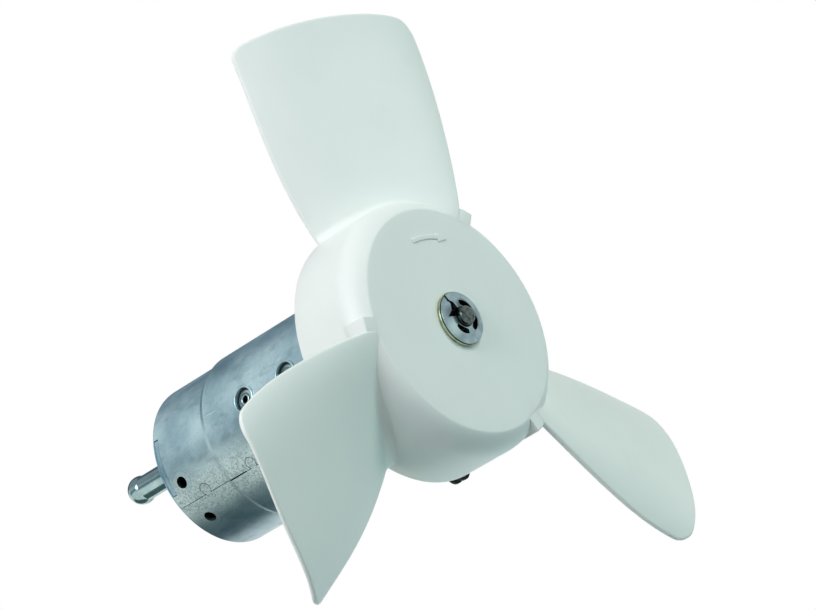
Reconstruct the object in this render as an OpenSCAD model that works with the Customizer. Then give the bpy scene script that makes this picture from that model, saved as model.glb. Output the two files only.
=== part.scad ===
// Three-blade cooling fan on its steel-can direct current motor.
// The shaft lies along Y, the flat face of the fan hub looks towards -Y, and +Z is up.
// The origin is where the shaft's centre line crosses the mounting face of the front plate.
// Depths are distances behind the hub's flat face, along +Y. Angles turn clockwise from +Z, as
// seen when looking at that face.

/* [Fan hub] */
// Outside diameter of the hub cup
hub_d = 110; // [96:1:124]
// Depth of the hub cup, from its face to its rear edge
hub_depth = 36.3; // [33:0.1:40]
// Radius of the rounded rim between face and wall
hub_round = 13; // [9:0.5:14]
// Depth that the flat face cuts off the rounded rim, which leaves a crisp edge
face_cut = 1.7; // [0.5:0.1:2.4]
// Thickness of the cup's wall
hub_wall = 2.5; // [2:0.1:4]
// Thickness of the cup's face
face_t = 3; // [2.4:0.1:4]
// Diameter of the boss round the shaft
boss_d = 22; // [18:0.5:26]
// Room between the boss and the front bearing cup, where the slinger turns
boss_gap = 6; // [5.5:0.1:8]
// Number of ribs from the boss to the wall
rib_count = 6; // [3:1:9]
// Thickness of a rib
rib_t = 2; // [1.5:0.1:3]
// Depth of the ribs behind the face
rib_depth = 14; // [9:0.5:18]
// Depth of the flat root pad behind the face
pad_depth = 0.2; // [0.2:0.1:1.6]
// Angle that the root pad covers beside the leading edge
pad_angle = 5.7; // [4:0.1:8]

/* [Blades] */
// Diameter of the circle through the blade tips
tip_d = 281; // [250:1:320]
// Number of blades
blade_count = 3; // [2:1:4]
// Angle of the first blade's centre line at rest
blade_turn = -25.5; // [-60:0.1:60]
// Leading edge's angle from the centre line, at the root, one third, two thirds and the tip
lead_angle = [27.2, 23.4, 20.3, 16.2]; // [8:0.1:34]
// Trailing edge's angle from the centre line, at the same four places
trail_angle = [-26.6, -23.3, -19.4, -16.4]; // [-34:0.1:-8]
// Leading edge's depth at mid thickness, at the same four places
lead_depth = [1.5, 3.1, 5.1, 5.9]; // [1.3:0.1:16]
// Trailing edge's distance in front of the hub's rear edge, at the same four places
trail_back = [0.8, 0.6, 1.7, 1.9]; // [0.6:0.1:14]
// Bulge of the blade towards the face at the root
root_camber = 4.5; // [2:0.1:8]
// Bulge of the blade towards the face at the tip
tip_camber = 7.4; // [2:0.1:10]
// How far the bulge spreads towards both edges
camber_spread = 0.8; // [0:0.01:0.9]
// Blade thickness at the root
root_t = 2.8; // [2.4:0.1:4.4]
// Blade thickness at the tip
tip_t = 2; // [1.6:0.1:3.6]
// Corner radius between the tip and the leading edge
lead_corner = 10; // [3:0.5:12]
// Corner radius between the tip and the trailing edge
trail_corner = 8; // [3:0.5:16]
// Fillet where the blade's front runs into the hub
front_fillet = 8; // [4:0.5:11]
// Fillet where the blade's back runs into the hub
back_fillet = 4; // [2:0.5:8]

/* [Rotation arrow] */
// Radius of the raised arrow's arc
arrow_r = 36.1; // [30:0.1:40]
// Width of the arrow's bar
arrow_w = 2; // [1:0.1:3]
// Height of the arrow above the face
arrow_h = 0.4; // [0.3:0.1:1]
// Angle where the arrow's tail starts, from the first blade's centre line
arrow_start = -18; // [-30:1:-10]
// Angle that the arrow's bar covers
arrow_sweep = 25; // [20:1:40]
// Width of the arrow's head
arrow_head_w = 4.3; // [3.4:0.1:7]
// Length of the arrow's head
arrow_head_len = 5.2; // [3:0.1:8]

/* [Shaft and fastening] */
// Diameter of the motor shaft
shaft_d = 8; // [6:0.5:9]
// Length of the shaft past the spring nut
shaft_tip = 3.1; // [0.5:0.1:5]
// Outside diameter of the flat washer
washer_d = 23.4; // [18:0.1:26]
// Thickness of the flat washer
washer_t = 1.4; // [1:0.1:3]
// Outside diameter of the spring nut
nut_d = 22.6; // [18:0.1:26]
// Thickness of the spring nut's sheet
nut_t = 0.7; // [0.6:0.1:1.2]
// Height of the spring nut's dished middle above its rim
nut_dish = 1.1; // [0.6:0.1:1.6]
// Diameter of the spring nut's dished middle
nut_dish_d = 16.4; // [16:0.1:17.4]
// Angle of the spring nut's radial slit
nut_slit_angle = -57; // [-90:1:0]
// Width of the radial slit
nut_slit_w = 0.8; // [0.5:0.1:1.2]
// Diameter of the cross pin that drives the hub
pin_d = 3; // [2:0.5:4]
// Length of the cross pin
pin_len = 18; // [14:0.5:20]
// Diameter of the water slinger
slinger_d = 18; // [14:0.5:24]

/* [Motor can] */
// Outside diameter of the can's front section
can_d = 73.2; // [68:0.2:78]
// Step in radius between the front and the rear section
can_step = 1.3; // [0.6:0.1:2]
// Thickness of the can's sheet
can_t = 2; // [1.5:0.1:2.5]
// Length of the can's front section, up to the step
can_front_len = 74; // [68:0.5:80]
// Length of the can's rear section, behind the step
can_rear_len = 32.5; // [30:0.5:36]
// Angle of the can's rolled seam
seam_angle = -147; // [-160:1:-140]
// Width of the seam's gap
seam_gap = 0.25; // [0.2:0.05:0.35]
// Width of the gap where the seam stands open, in front of the step
seam_open = 0.6; // [0.4:0.1:1]
// Radius of a seam key's round head
key_r = 2.6; // [2:0.1:3.2]
// Distance between the seam's keys
key_pitch = 29.5; // [24:0.5:32]
// Diameter of the two vent holes near the rear edge
vent_d = 5.2; // [4:0.1:7]
// Angle between each vent hole and the seam
vent_angle = 15.2; // [12:0.1:20]
// Distance of the vent holes from the rear edge
vent_back = 9.6; // [9:0.1:11]
// Height of the notch in the can's rear edge
notch_h = 3.8; // [3:0.1:4.2]
// First angle of the notch
notch_from = -137.5; // [-139:0.5:-130]
// Last angle of the notch
notch_to = -96; // [-105:0.5:-90]

/* [Side bushes] */
// Angle of the two rubber bushes in the can's side
bush_angle = -106; // [-112:1:-100]
// Depth of the front bush
bush_depth = 64.3; // [58:0.1:68]
// Distance between the bushes
bush_pitch = 25.7; // [20:0.1:28]
// Diameter of a bush's hole in the can
bush_hole_d = 9.8; // [8.6:0.1:10]
// Width of the raised rim round a bush's hole
bush_rim_w = 0.5; // [0.4:0.1:1]
// Height of the raised rim
bush_rim_h = 0.6; // [0.3:0.1:1]
// Outside diameter of a bush's steel eyelet
eyelet_d = 6; // [5:0.1:6.8]
// Diameter of the eyelet's flange
eyelet_flange_d = 7.2; // [7:0.1:8]
// Depth of the eyelet's flange below the can's surface
eyelet_sink = 0.9; // [0.4:0.1:1.2]
// Bore of a bush's steel eyelet
eyelet_bore_d = 3.4; // [3:0.1:4]

/* [Front plate] */
// Distance between the hub's rear edge and the front plate
hub_gap = 4; // [3.5:0.1:8]
// Thickness of the front plate
plate_t = 2.5; // [2:0.1:3]
// Radius from the shaft to a fixing hole
ear_r = 41; // [41:0.1:42]
// Radius of an ear's rounded end
ear_end_r = 5; // [4.5:0.1:5.5]
// Diameter of a fixing hole
ear_hole_d = 5.5; // [4.5:0.1:6]
// Angle of the first fixing hole
ear_angle = 75; // [70:1:80]
// Angle of the arm that carries the lead grommet
lead_angle_at = 135; // [130:1:140]
// Radius from the shaft to the lead grommet
lead_r = 51.8; // [50:0.1:53]
// Outside diameter of the lead grommet
lead_grommet_d = 9.6; // [8:0.1:11]
// Bore of the lead grommet
lead_bore_d = 4.4; // [3:0.1:5]

/* [Bearings] */
// Diameter of a ball-shaped plain bearing
bearing_d = 17; // [16:0.5:19]
// Length of a bearing along the shaft
bearing_len = 11; // [9:0.5:12]
// Wall of the cups that hold the bearings
bearing_cup_t = 2; // [1.6:0.1:2.4]
// Height of the front bearing cup in front of the plate
front_cup_len = 12; // [11:0.5:14]
// Distance of the rear bearing's middle in front of the rear cap
rear_bearing_back = 0.6; // [0:0.1:2]

/* [Magnets and armature] */
// Angle that one magnet covers
magnet_angle = 134; // [120:1:138]
// Thickness of a magnet
magnet_t = 7.4; // [6:0.1:8]
// Distance between the magnets' rear ends and the can's step
magnet_gap = 4.5; // [2:0.5:8]
// Length of the magnets
magnet_len = 54; // [48:0.5:55]
// Gap between the magnets and the armature core
air_gap = 1; // [0.8:0.1:1.6]
// Length of the armature core, which lies in the middle of the magnets
core_len = 46; // [40:0.5:50]
// Length of the windings past each end of the core
winding_len = 6.5; // [5:0.5:8]
// Number of armature slots, and of commutator bars
slot_count = 12; // [8:2:14]
// Diameter of the commutator's track
commutator_d = 22; // [20:0.5:24]
// Length of the commutator's bars
commutator_len = 16.5; // [14:0.5:18]

/* [Brush gear] */
// Thickness of the brush card
card_t = 2.5; // [2:0.1:3]
// Width of a brush along the shaft
brush_w = 7; // [6:0.1:8]
// Thickness of a brush
brush_t = 5; // [4:0.1:6]
// Length of a brush
brush_len = 13; // [11:0.5:14]
// Wall of a brush holder
holder_t = 0.7; // [0.5:0.1:0.9]
// Gap between a brush and the commutator
brush_gap = 0.3; // [0.25:0.01:0.4]

/* [Rear cap and vent spigot] */
// Thickness of the rear cap
cap_t = 2; // [1.6:0.1:2.4]
// Height of the cap's rim, which sits on the can's rear edge
cap_rim = 1.2; // [0.9:0.1:1.6]
// Outside diameter of the vent spigot's tube
spigot_d = 10.6; // [9:0.1:12]
// Wall of the vent spigot
spigot_t = 1.4; // [1:0.1:1.8]
// Diameter of the bead at the spigot's end
bead_d = 12.2; // [11:0.1:14]
// Length of the spigot behind the rear cap
spigot_len = 25.5; // [18:0.5:30]
// Radius from the shaft to the spigot
spigot_r = 27.5; // [26:0.1:27.8]
// Angle of the spigot
spigot_angle = -119; // [-130:1:-110]

/* [Fits] */
// Radial clearance between shaft and bearings
running_play = 0.03; // [0.02:0.01:0.06]
// Radial clearance between pieces that sit on each other
seat_play = 0.05; // [0.03:0.01:0.1]

/* [Hidden] */
$fn = 72;
eps = 0.01;

hub_r = hub_d / 2;
tip_r = tip_d / 2;
shaft_r = shaft_d / 2;
cavity_r = hub_r - hub_wall;
cavity_round = hub_round - hub_wall;
rim_at = hub_round - face_cut;

plate_front = hub_depth + hub_gap;
can_front = plate_front + plate_t;
step_depth = can_front + can_front_len;
can_rear = step_depth + can_rear_len;
can_r = can_d / 2;
can_in_r = can_r - can_t;
can_rear_r = can_r - can_step;
can_rear_in_r = can_rear_r - can_t;

bearing_r = bearing_d / 2;
cup_in_r = bearing_r + seat_play;
cup_out_r = cup_in_r + bearing_cup_t;
front_cup_depth = plate_front - front_cup_len;
front_bearing_at = front_cup_depth + bearing_cup_t + seat_play + bearing_len / 2;
boss_depth = front_cup_depth - boss_gap;

cap_lip = 3.7;
cap_front = can_rear - cap_lip;
cap_rear = cap_front + cap_t;
rear_bearing_at = cap_front - rear_bearing_back;
cap_floor = rear_bearing_at + bearing_len / 2 + seat_play;
rear_washer_at = rear_bearing_at - bearing_len / 2 - 1.1;

commutator_r = commutator_d / 2;
commutator_rear = rear_washer_at - 1.6;
commutator_front = commutator_rear - commutator_len;
brush_at = commutator_front + commutator_len * 0.6;
holder_half = brush_w / 2 + seat_play + holder_t;
card_front = brush_at + holder_half;
pad_t = 0.8;
shaft_rear = cap_floor - pad_t - 0.25;
shaft_front = -(washer_t + nut_t + nut_dish + shaft_tip);

pin_slot = pin_d + 0.4;
pin_at = boss_depth - pin_slot + pin_d / 2 + 0.1;

magnet_r = can_in_r - 0.2;
magnet_in_r = magnet_r - magnet_t;
core_r = magnet_in_r - air_gap;
magnet_front = step_depth - magnet_gap - magnet_len;
core_front = magnet_front + (magnet_len - core_len) / 2;
magnet_a_angle = bush_angle + 90;
magnet_b_angle = bush_angle - 90;

// Turns a shape drawn round Z, with its depths along Z, so that they run back along the shaft
module on_axis() translate([0, -plate_front, 0]) rotate([-90, 0, 0]) children();

// Point at a radius, an angle and a depth, before on_axis
function polar(r, a, h) = [r * sin(a), -r * cos(a), h];

// Places children at an angle and a radius, with their own +X pointing outwards
module at_polar(a, r = 0) rotate([0, 0, a - 90]) translate([r, 0, 0]) children();

// Ring with a square section between two radii and two depths
module ring(r_in, r_out, from, to) {
    translate([0, 0, from])
        difference() {
            cylinder(r = r_out, h = to - from);
            translate([0, 0, -1]) cylinder(r = r_in, h = to - from + 2);
        }
}

// Part of a ring between two angles
module ring_sector(r_in, r_out, from, to, a_from, a_to) {
    rotate([0, 0, a_from - 90])
        rotate_extrude(angle = a_to - a_from)
            translate([r_in, from]) square([r_out - r_in, to - from]);
}

// Cubic through four values that stand at 0, 1/3, 2/3 and 1
function four(v, t) =
    v[0] * (1 - 3 * t) * (1 - 1.5 * t) * (1 - t)
    + v[1] * 9 * t * (1 - 1.5 * t) * (1 - t)
    - v[2] * 4.5 * t * (1 - 3 * t) * (1 - t)
    + v[3] * t * (1 - 3 * t) * (1 - 1.5 * t);

// Share of the way from the hub to the tip
function span(r) = (r - hub_r) / (tip_r - hub_r);
function clamped(v, low, high) = max(low, min(high, v));
function hub_surface_r(depth) =
    depth >= rim_at ? hub_r
    : hub_r - hub_round + sqrt(hub_round ^ 2 - (rim_at - max(depth, 0)) ^ 2);

// Blade section at radius r: s runs from -1 at the trailing edge to 1 at the leading edge
function blade_angle(r, s) =
    let(lead = four(lead_angle, span(r)), trail = four(trail_angle, span(r)))
    (lead + trail) / 2 + (lead - trail) / 2 * s;
function blade_camber(r) = root_camber + (tip_camber - root_camber) * clamped(span(r), 0, 1);
function blade_depth(r, s) =
    let(lead = four(lead_depth, span(r)), trail = hub_depth - four(trail_back, span(r)))
    (lead + trail) / 2 + (lead - trail) / 2 * s
    - blade_camber(r) * (1 - s ^ 2) * (1 + camber_spread * s ^ 2);
function blade_slope(r, s) =
    let(k = camber_spread)
    (four(lead_depth, span(r)) - hub_depth + four(trail_back, span(r))) / 2
    - blade_camber(r) * (2 * (k - 1) * s - 4 * k * s ^ 3);
function blade_half_width(r) =
    (four(lead_angle, span(r)) - four(trail_angle, span(r))) / 2 * PI / 180 * r;

// Unit normal of the section towards the face, as [along the arc, along the depth]
function blade_normal(r, s) =
    let(a = blade_half_width(r), d = blade_slope(r, s))
    [d, -a] / sqrt(a ^ 2 + d ^ 2);

// Rounded tip corners: the tip's radius falls near both edges
function corner_drop(radius, from_edge) =
    from_edge >= radius ? 0 : radius - sqrt(radius ^ 2 - (radius - from_edge) ^ 2);
function blade_tip_r(s) =
    let(from_edge = (1 - abs(s)) * blade_half_width(tip_r))
    tip_r - corner_drop(s > 0 ? lead_corner : trail_corner, from_edge);

// Thickness and root fillets
blade_edge = 0.35;
function blade_half_t(r) = (root_t + (tip_t - root_t) * clamped(span(r), 0, 1)) / 2;
function front_flare(s) =
    clamped(blade_depth(hub_r, s) - blade_half_t(hub_r) - pad_depth, 0, front_fillet);
function back_flare(s) =
    clamped(hub_depth - blade_depth(hub_r, s) - blade_half_t(hub_r), 0, back_fillet);
function flare_share(r) =
    let(x = clamped((r - hub_r) / front_fillet, 0, 1))
    1 - sqrt(1 - (1 - x) ^ 2);
function blade_root_r(s) =
    hub_surface_r(blade_depth(hub_r, s) - blade_half_t(hub_r) - front_flare(s)) - 1;

// One point of the blade: side is 1 on the front and -1 on the back
function blade_point(r, s, side, edge) =
    let(
        flare = side > 0 ? front_flare(s) : back_flare(s),
        off = side * (blade_half_t(r) * edge + flare * flare_share(r)),
        n = blade_normal(max(r, hub_r), s)
    )
    polar(
        r,
        blade_angle(max(r, hub_r), s) + off * n[0] / r * 180 / PI,
        blade_depth(max(r, hub_r), s) + off * n[1]
    );

blade_columns = 15;
fillet_rows = 4;
span_rows = 8;
blade_rows = fillet_rows + span_rows + 2;
function column_s(i) = -cos(180 * i / (blade_columns - 1));
function row_r(j, s) =
    j == 0 ? blade_root_r(s)
    : j <= fillet_rows ? hub_r + front_fillet * (1 - cos(90 * (j - 0.7) / (fillet_rows - 0.7)))
    : j <= fillet_rows + span_rows
        ? hub_r + front_fillet
          + (blade_tip_r(s) - blade_t_edge - hub_r - front_fillet) * (j - fillet_rows) / span_rows
    : blade_tip_r(s);
blade_t_edge = 1;
function edge_share(i, j) =
    i == 0 || i == blade_columns - 1 || j == blade_rows - 1 ? blade_edge : 1;

// Closed skin of one blade: rows run outwards, columns from trailing to leading edge
module blade() {
    n = blade_columns;
    points = [
        for (j = [0:blade_rows - 1])
            for (side = [1, -1])
                for (i = [0:n - 1])
                    blade_point(row_r(j, column_s(i)), column_s(i), side, edge_share(i, j))
    ];
    function at(j, side, i) = (2 * j + side) * n + i;
    function quad(a, b, c, d) = [[a, c, b], [a, d, c]];
    faces = [
        for (j = [0:blade_rows - 2])
            for (i = [0:n - 2])
                for (f = concat(
                    quad(at(j, 0, i), at(j, 0, i + 1), at(j + 1, 0, i + 1), at(j + 1, 0, i)),
                    quad(at(j, 1, i), at(j + 1, 1, i), at(j + 1, 1, i + 1), at(j, 1, i + 1))
                )) f,
        for (j = [0:blade_rows - 2])
            for (f = concat(
                quad(at(j, 0, 0), at(j + 1, 0, 0), at(j + 1, 1, 0), at(j, 1, 0)),
                quad(at(j, 0, n - 1), at(j, 1, n - 1), at(j + 1, 1, n - 1), at(j + 1, 0, n - 1))
            )) f,
        for (i = [0:n - 2])
            for (f = concat(
                quad(at(0, 0, i), at(0, 1, i), at(0, 1, i + 1), at(0, 0, i + 1)),
                quad(at(blade_rows - 1, 0, i), at(blade_rows - 1, 0, i + 1),
                     at(blade_rows - 1, 1, i + 1), at(blade_rows - 1, 1, i))
            )) f
    ];
    polyhedron(points = points, faces = faces, convexity = 6);
}

// Cup shape between a front depth and a rear depth, with a rounded rim round the depth rim_at
module cup_solid(r, round_r, from, to) {
    rotate_extrude() {
        translate([0, from]) square([r - round_r, to - from]);
        translate([0, rim_at]) square([r, to - rim_at]);
        intersection() {
            translate([r - round_r, rim_at]) circle(round_r);
            translate([0, from]) square([r, rim_at - from + eps]);
        }
    }
}

// Flat pad that squares off the rim beside a blade's leading edge
module root_pad() {
    pad_r = hub_r - 0.3;
    ring_sector(hub_r - hub_round, pad_r, pad_depth, rim_at + 1,
                lead_angle[0] - 4, lead_angle[0] + pad_angle);
}

// Raised curved bar with a pointed head that shows the way the fan turns
module rotation_arrow() {
    arrow_end = arrow_start + arrow_sweep;
    ring_sector(arrow_r - arrow_w / 2, arrow_r + arrow_w / 2, -arrow_h, 1, arrow_start, arrow_end);
    at_polar(arrow_end, arrow_r)
        translate([0, 0, -arrow_h])
            linear_extrude(arrow_h + 1.1)
                polygon([
                    [arrow_head_w / 2, -0.3], [-arrow_head_w / 2, -0.3], [-0.4, arrow_head_len]
                ]);
}

module fan() {
    color("whitesmoke")
        on_axis()
            rotate([0, 0, blade_turn])
                difference() {
                    union() {
                        difference() {
                            union() {
                                cup_solid(hub_r, hub_round, 0, hub_depth);
                                for (k = [0:blade_count - 1])
                                    rotate([0, 0, 360 / blade_count * k]) {
                                        blade();
                                        root_pad();
                                    }
                            }
                            cup_solid(cavity_r, cavity_round, face_t, hub_depth + 1);
                        }
                        translate([0, 0, 1]) cylinder(d = boss_d, h = boss_depth - 1);
                        intersection() {
                            cup_solid(cavity_r + 0.6, cavity_round + 0.6, face_t - 0.6, hub_depth);
                            for (k = [0:rib_count - 1])
                                at_polar(360 / rib_count * k)
                                    translate([boss_d / 2 - 1, -rib_t / 2, 1])
                                        cube([hub_r, rib_t, rib_depth - 1]);
                        }
                        rotation_arrow();
                    }
                    translate([0, 0, -5])
                        cylinder(r = shaft_r + seat_play, h = boss_depth + 10);
                    translate([-hub_r / 4, -(pin_d / 2 + 0.1), boss_depth - pin_slot])
                        cube([hub_r / 2, pin_d + 0.2, pin_slot + 1]);
                }
}

module flat_washer() {
    color("darkkhaki")
        on_axis() ring(shaft_r + seat_play * 4, washer_d / 2, -washer_t, 0);
}

// Dished sheet with four kidney slots; one of them is open to the bore and to the radial slit
module spring_nut() {
    in_r = shaft_r + 0.35;
    out_r = nut_d / 2;
    dish_r = nut_dish_d / 2;
    seat = -washer_t - seat_play;
    slot_half = 26;
    color("lightslategray")
        on_axis()
            difference() {
                rotate_extrude()
                    polygon([
                        [in_r, seat - nut_dish], [dish_r - 1, seat - nut_dish], [dish_r, seat],
                        [out_r, seat], [out_r, seat - nut_t], [dish_r, seat - nut_t],
                        [dish_r - 1, seat - nut_dish - nut_t], [in_r, seat - nut_dish - nut_t]
                    ]);
                for (k = [0:3])
                    ring_sector(k == 0 ? in_r - 1 : in_r + 1.2, in_r + 2.8, seat - 6, seat + 1,
                                nut_slit_angle + 90 * k - 2 * slot_half, nut_slit_angle + 90 * k);
                at_polar(nut_slit_angle)
                    translate([in_r + 1.5, -nut_slit_w - 0.1, seat - 6])
                        cube([nut_d, nut_slit_w, 10]);
            }
}

module shaft() {
    dome = 1.2;
    color("dimgray")
        on_axis()
            difference() {
                union() {
                    translate([0, 0, shaft_front + dome])
                        cylinder(r = shaft_r, h = shaft_rear - shaft_front - dome);
                    translate([0, 0, shaft_front])
                        cylinder(r1 = shaft_r - dome, r2 = shaft_r, h = dome);
                }
                rotate([0, 0, blade_turn])
                    translate([-shaft_d, 0, pin_at])
                        rotate([0, 90, 0]) cylinder(r = pin_d / 2 + 0.02, h = 2 * shaft_d);
            }
}

module drive_pin() {
    color("silver")
        on_axis()
            rotate([0, 0, blade_turn])
                translate([-pin_len / 2, 0, pin_at])
                    rotate([0, 90, 0]) cylinder(d = pin_d, h = pin_len);
}

module slinger() {
    front = boss_depth + 1.2;
    color("gray")
        on_axis() {
            ring(shaft_r + seat_play, shaft_r + 1.5, front, front + 3);
            ring(shaft_r + 1.2, slinger_d / 2, front, front + 1);
        }
}

module thrust_collar() {
    front = front_bearing_at + bearing_len / 2 + 1.5;
    color("silver")
        on_axis() ring(shaft_r + seat_play, shaft_r + 2.5, front, front + 6);
}

module front_thrust_washer() {
    front = front_bearing_at + bearing_len / 2 + 0.4;
    color("saddlebrown")
        on_axis() ring(shaft_r + seat_play, shaft_r + 2.8, front, front + 1);
}

// Laminated stack: a disc with slots that are narrow at the rim
module armature_core() {
    slot_w = core_r * 0.24;
    color("slategray")
        on_axis()
            translate([0, 0, core_front])
                linear_extrude(core_len)
                    difference() {
                        circle(core_r);
                        circle(shaft_r + seat_play);
                        for (k = [0:slot_count - 1])
                            rotate(360 / slot_count * k) {
                                translate([core_r * 0.5, -slot_w / 2])
                                    square([core_r * 0.38, slot_w]);
                                translate([core_r * 0.8, -1]) square([core_r * 0.3, 2]);
                            }
                    }
}

// Copper in the slots, joined by a round bundle at each end of the stack
module armature_windings() {
    slot_w = core_r * 0.24;
    play = 0.2;
    color("peru")
        on_axis() {
            for (k = [0:slot_count - 1])
                rotate([0, 0, 360 / slot_count * k])
                    translate([core_r * 0.5 + play, -slot_w / 2 + play, core_front - 1])
                        cube([core_r * 0.38 - 2 * play, slot_w - 2 * play, core_len + 2]);
            for (at = [core_front - play - winding_len, core_front + core_len + play])
                ring(shaft_r + 3.5, core_r * 0.9, at, at + winding_len);
        }
}

module commutator_hub() {
    color("saddlebrown")
        on_axis()
            ring(shaft_r + seat_play, commutator_r - 2.5, commutator_front - 1,
                 commutator_rear + 0.8);
}

// Copper bars with risers at the front, parted by thin slots
module commutator_bars() {
    in_r = commutator_r - 2.45;
    color("goldenrod")
        on_axis()
            difference() {
                union() {
                    ring(in_r, commutator_r, commutator_front, commutator_rear);
                    ring(in_r, commutator_r + 2, commutator_front, commutator_front + 2.5);
                }
                for (k = [0:slot_count / 2 - 1])
                    rotate([0, 0, 360 / slot_count * (k + 0.5)])
                        translate([-commutator_r - 5, -0.3, commutator_front - 1])
                            cube([commutator_d + 10, 0.6, commutator_len + 2]);
            }
}

module rear_thrust_washer() {
    color("saddlebrown")
        on_axis() ring(shaft_r + seat_play, shaft_r + 2.6, rear_washer_at - 0.7, rear_washer_at);
}

// Outline of the seam in the flat: a straight line with round keys on one side
module seam_line(from, to) {
    half = seam_gap / 2;
    neck = key_r * 0.62;
    keys = [for (k = [0:2]) can_rear - 18.5 - key_pitch * k];
    difference() {
        union() {
            translate([-half, from]) square([seam_gap, to - from]);
            translate([-seam_open / 2, step_depth - 11]) square([seam_open, 10.4]);
            for (at = keys) {
                translate([key_r * 0.8, at]) circle(key_r + half);
                translate([0, at - neck - half]) square([key_r * 0.8, 2 * neck + seam_gap]);
            }
        }
        for (at = keys) {
            translate([key_r * 0.8, at]) circle(key_r - half);
            translate([-1, at - neck + half]) square([key_r * 0.8 + 1, 2 * neck - seam_gap]);
        }
    }
}

// Rolled tube with a step and pressed stops for the magnets
module can_tube() {
    ramp = 1.5;
    rotate_extrude()
        polygon([
            [can_in_r, can_front], [can_r, can_front],
            [can_r, step_depth - ramp], [can_rear_r, step_depth + ramp],
            [can_rear_r, can_rear - cap_rim], [can_rear_in_r, can_rear - cap_rim],
            [can_rear_in_r, step_depth + ramp], [can_in_r, step_depth - ramp]
        ]);
    stop_mid = magnet_front + magnet_len / 2;
    for (side = [-1, 1])
        ring_sector(can_in_r - 2.5, can_in_r + 0.5, stop_mid - 5, stop_mid + 5,
                    bush_angle + side * (90 - magnet_angle / 2 - 2) - 1.5,
                    bush_angle + side * (90 - magnet_angle / 2 - 2) + 1.5);
}

module motor_can() {
    bushes = [bush_depth, bush_depth + bush_pitch];
    color("lightsteelblue")
        on_axis()
            difference() {
                union() {
                    can_tube();
                    for (at = bushes)
                        at_polar(bush_angle)
                            translate([0, 0, at])
                                rotate([0, 90, 0])
                                    translate([0, 0, can_r - can_t * 0.8])
                                        cylinder(d = bush_hole_d + 2 * bush_rim_w,
                                                 h = can_t * 0.8 + bush_rim_h);
                }
                for (at = bushes)
                    at_polar(bush_angle)
                        translate([0, 0, at])
                            rotate([0, 90, 0])
                                translate([0, 0, can_r - 8]) cylinder(d = bush_hole_d, h = 16);
                for (side = [-1, 1])
                    at_polar(seam_angle + side * vent_angle)
                        translate([0, 0, can_rear - vent_back])
                            rotate([0, 90, 0])
                                translate([0, 0, can_r - 8]) cylinder(d = vent_d, h = 16);
                ring_sector(can_rear_in_r - 2, can_r + 1, can_rear - notch_h, can_rear + 1,
                            notch_from, notch_to);
                rotate([0, 0, seam_angle - 90])
                    rotate([90, 0, 90])
                        translate([0, 0, can_in_r - 4])
                            linear_extrude(8) seam_line(can_front - 1, can_rear + 1);
            }
}

// Flat outline of the front plate: disc, three fixing ears and the lead arm
module plate_outline() {
    arm_w = lead_grommet_d * 0.95;
    difference() {
        union() {
            circle(can_r);
            for (k = [0:2])
                rotate(ear_angle - 90 + 120 * k) {
                    translate([ear_r, 0]) circle(ear_end_r);
                    translate([0, -ear_end_r]) square([ear_r, 2 * ear_end_r]);
                }
            rotate(lead_angle_at - 90)
                translate([0, -arm_w / 2]) square([lead_r + 0.7, arm_w]);
        }
        for (k = [0:2])
            rotate(ear_angle - 90 + 120 * k) translate([ear_r, 0]) circle(d = ear_hole_d);
        rotate(lead_angle_at - 90) {
            translate([lead_r, 0]) circle(lead_grommet_d * 0.37 + seat_play);
            translate([lead_r, -lead_grommet_d * 0.3]) square([10, lead_grommet_d * 0.6]);
        }
        circle(cup_in_r);
    }
}

module front_plate() {
    spigot_ring = 2.2;
    color("gainsboro")
        on_axis() {
            translate([0, 0, plate_front]) linear_extrude(plate_t) plate_outline();
            ring(can_in_r - 2.5, can_in_r - seat_play, can_front - eps, can_front + spigot_ring);
            ring(cup_in_r, cup_out_r, front_cup_depth, plate_front + plate_t);
            ring(shaft_r + 1.4, cup_out_r, front_cup_depth, front_cup_depth + bearing_cup_t);
        }
}

// Ball-shaped plain bearing with flat ends
module bearing(at) {
    difference() {
        intersection() {
            translate([0, 0, at]) sphere(bearing_r);
            translate([0, 0, at - bearing_len / 2])
                cylinder(r = bearing_r + 1, h = bearing_len);
        }
        translate([0, 0, at - bearing_len])
            cylinder(r = shaft_r + running_play, h = 2 * bearing_len);
    }
}

// Slotted spring ring that holds a bearing in its cup
module bearing_clip(from) {
    in_r = bearing_r * 0.82;
    difference() {
        ring(in_r, bearing_r, from, from + 0.6);
        for (k = [0:5])
            rotate([0, 0, 60 * k])
                translate([in_r - 1, -0.4, from - 1]) cube([1.7, 0.8, 3]);
    }
}
clip_lift = sqrt(bearing_r ^ 2 - (bearing_r * 0.82) ^ 2);

module front_bearing() color("darkgoldenrod") on_axis() bearing(front_bearing_at);
module rear_bearing() color("darkgoldenrod") on_axis() bearing(rear_bearing_at);

module front_bearing_clip() {
    color("silver") on_axis() bearing_clip(front_bearing_at + clip_lift + seat_play);
}

module rear_bearing_clip() {
    color("silver") on_axis() bearing_clip(rear_bearing_at - clip_lift - seat_play - 0.6);
}

// Black rubber grommet that clips into the open end of the lead arm
module lead_grommet() {
    flange = 1.3;
    color("black")
        on_axis()
            at_polar(lead_angle_at, lead_r)
                difference() {
                    union() {
                        translate([0, 0, plate_front - flange - seat_play])
                            cylinder(d = lead_grommet_d, h = flange);
                        translate([0, 0, plate_front - 1])
                            cylinder(r = lead_grommet_d * 0.37, h = plate_t + 2);
                        translate([0, 0, plate_front + plate_t + seat_play])
                            cylinder(d = lead_grommet_d, h = flange);
                    }
                    translate([0, 0, plate_front - 5]) cylinder(d = lead_bore_d, h = 20);
                }
}

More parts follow.
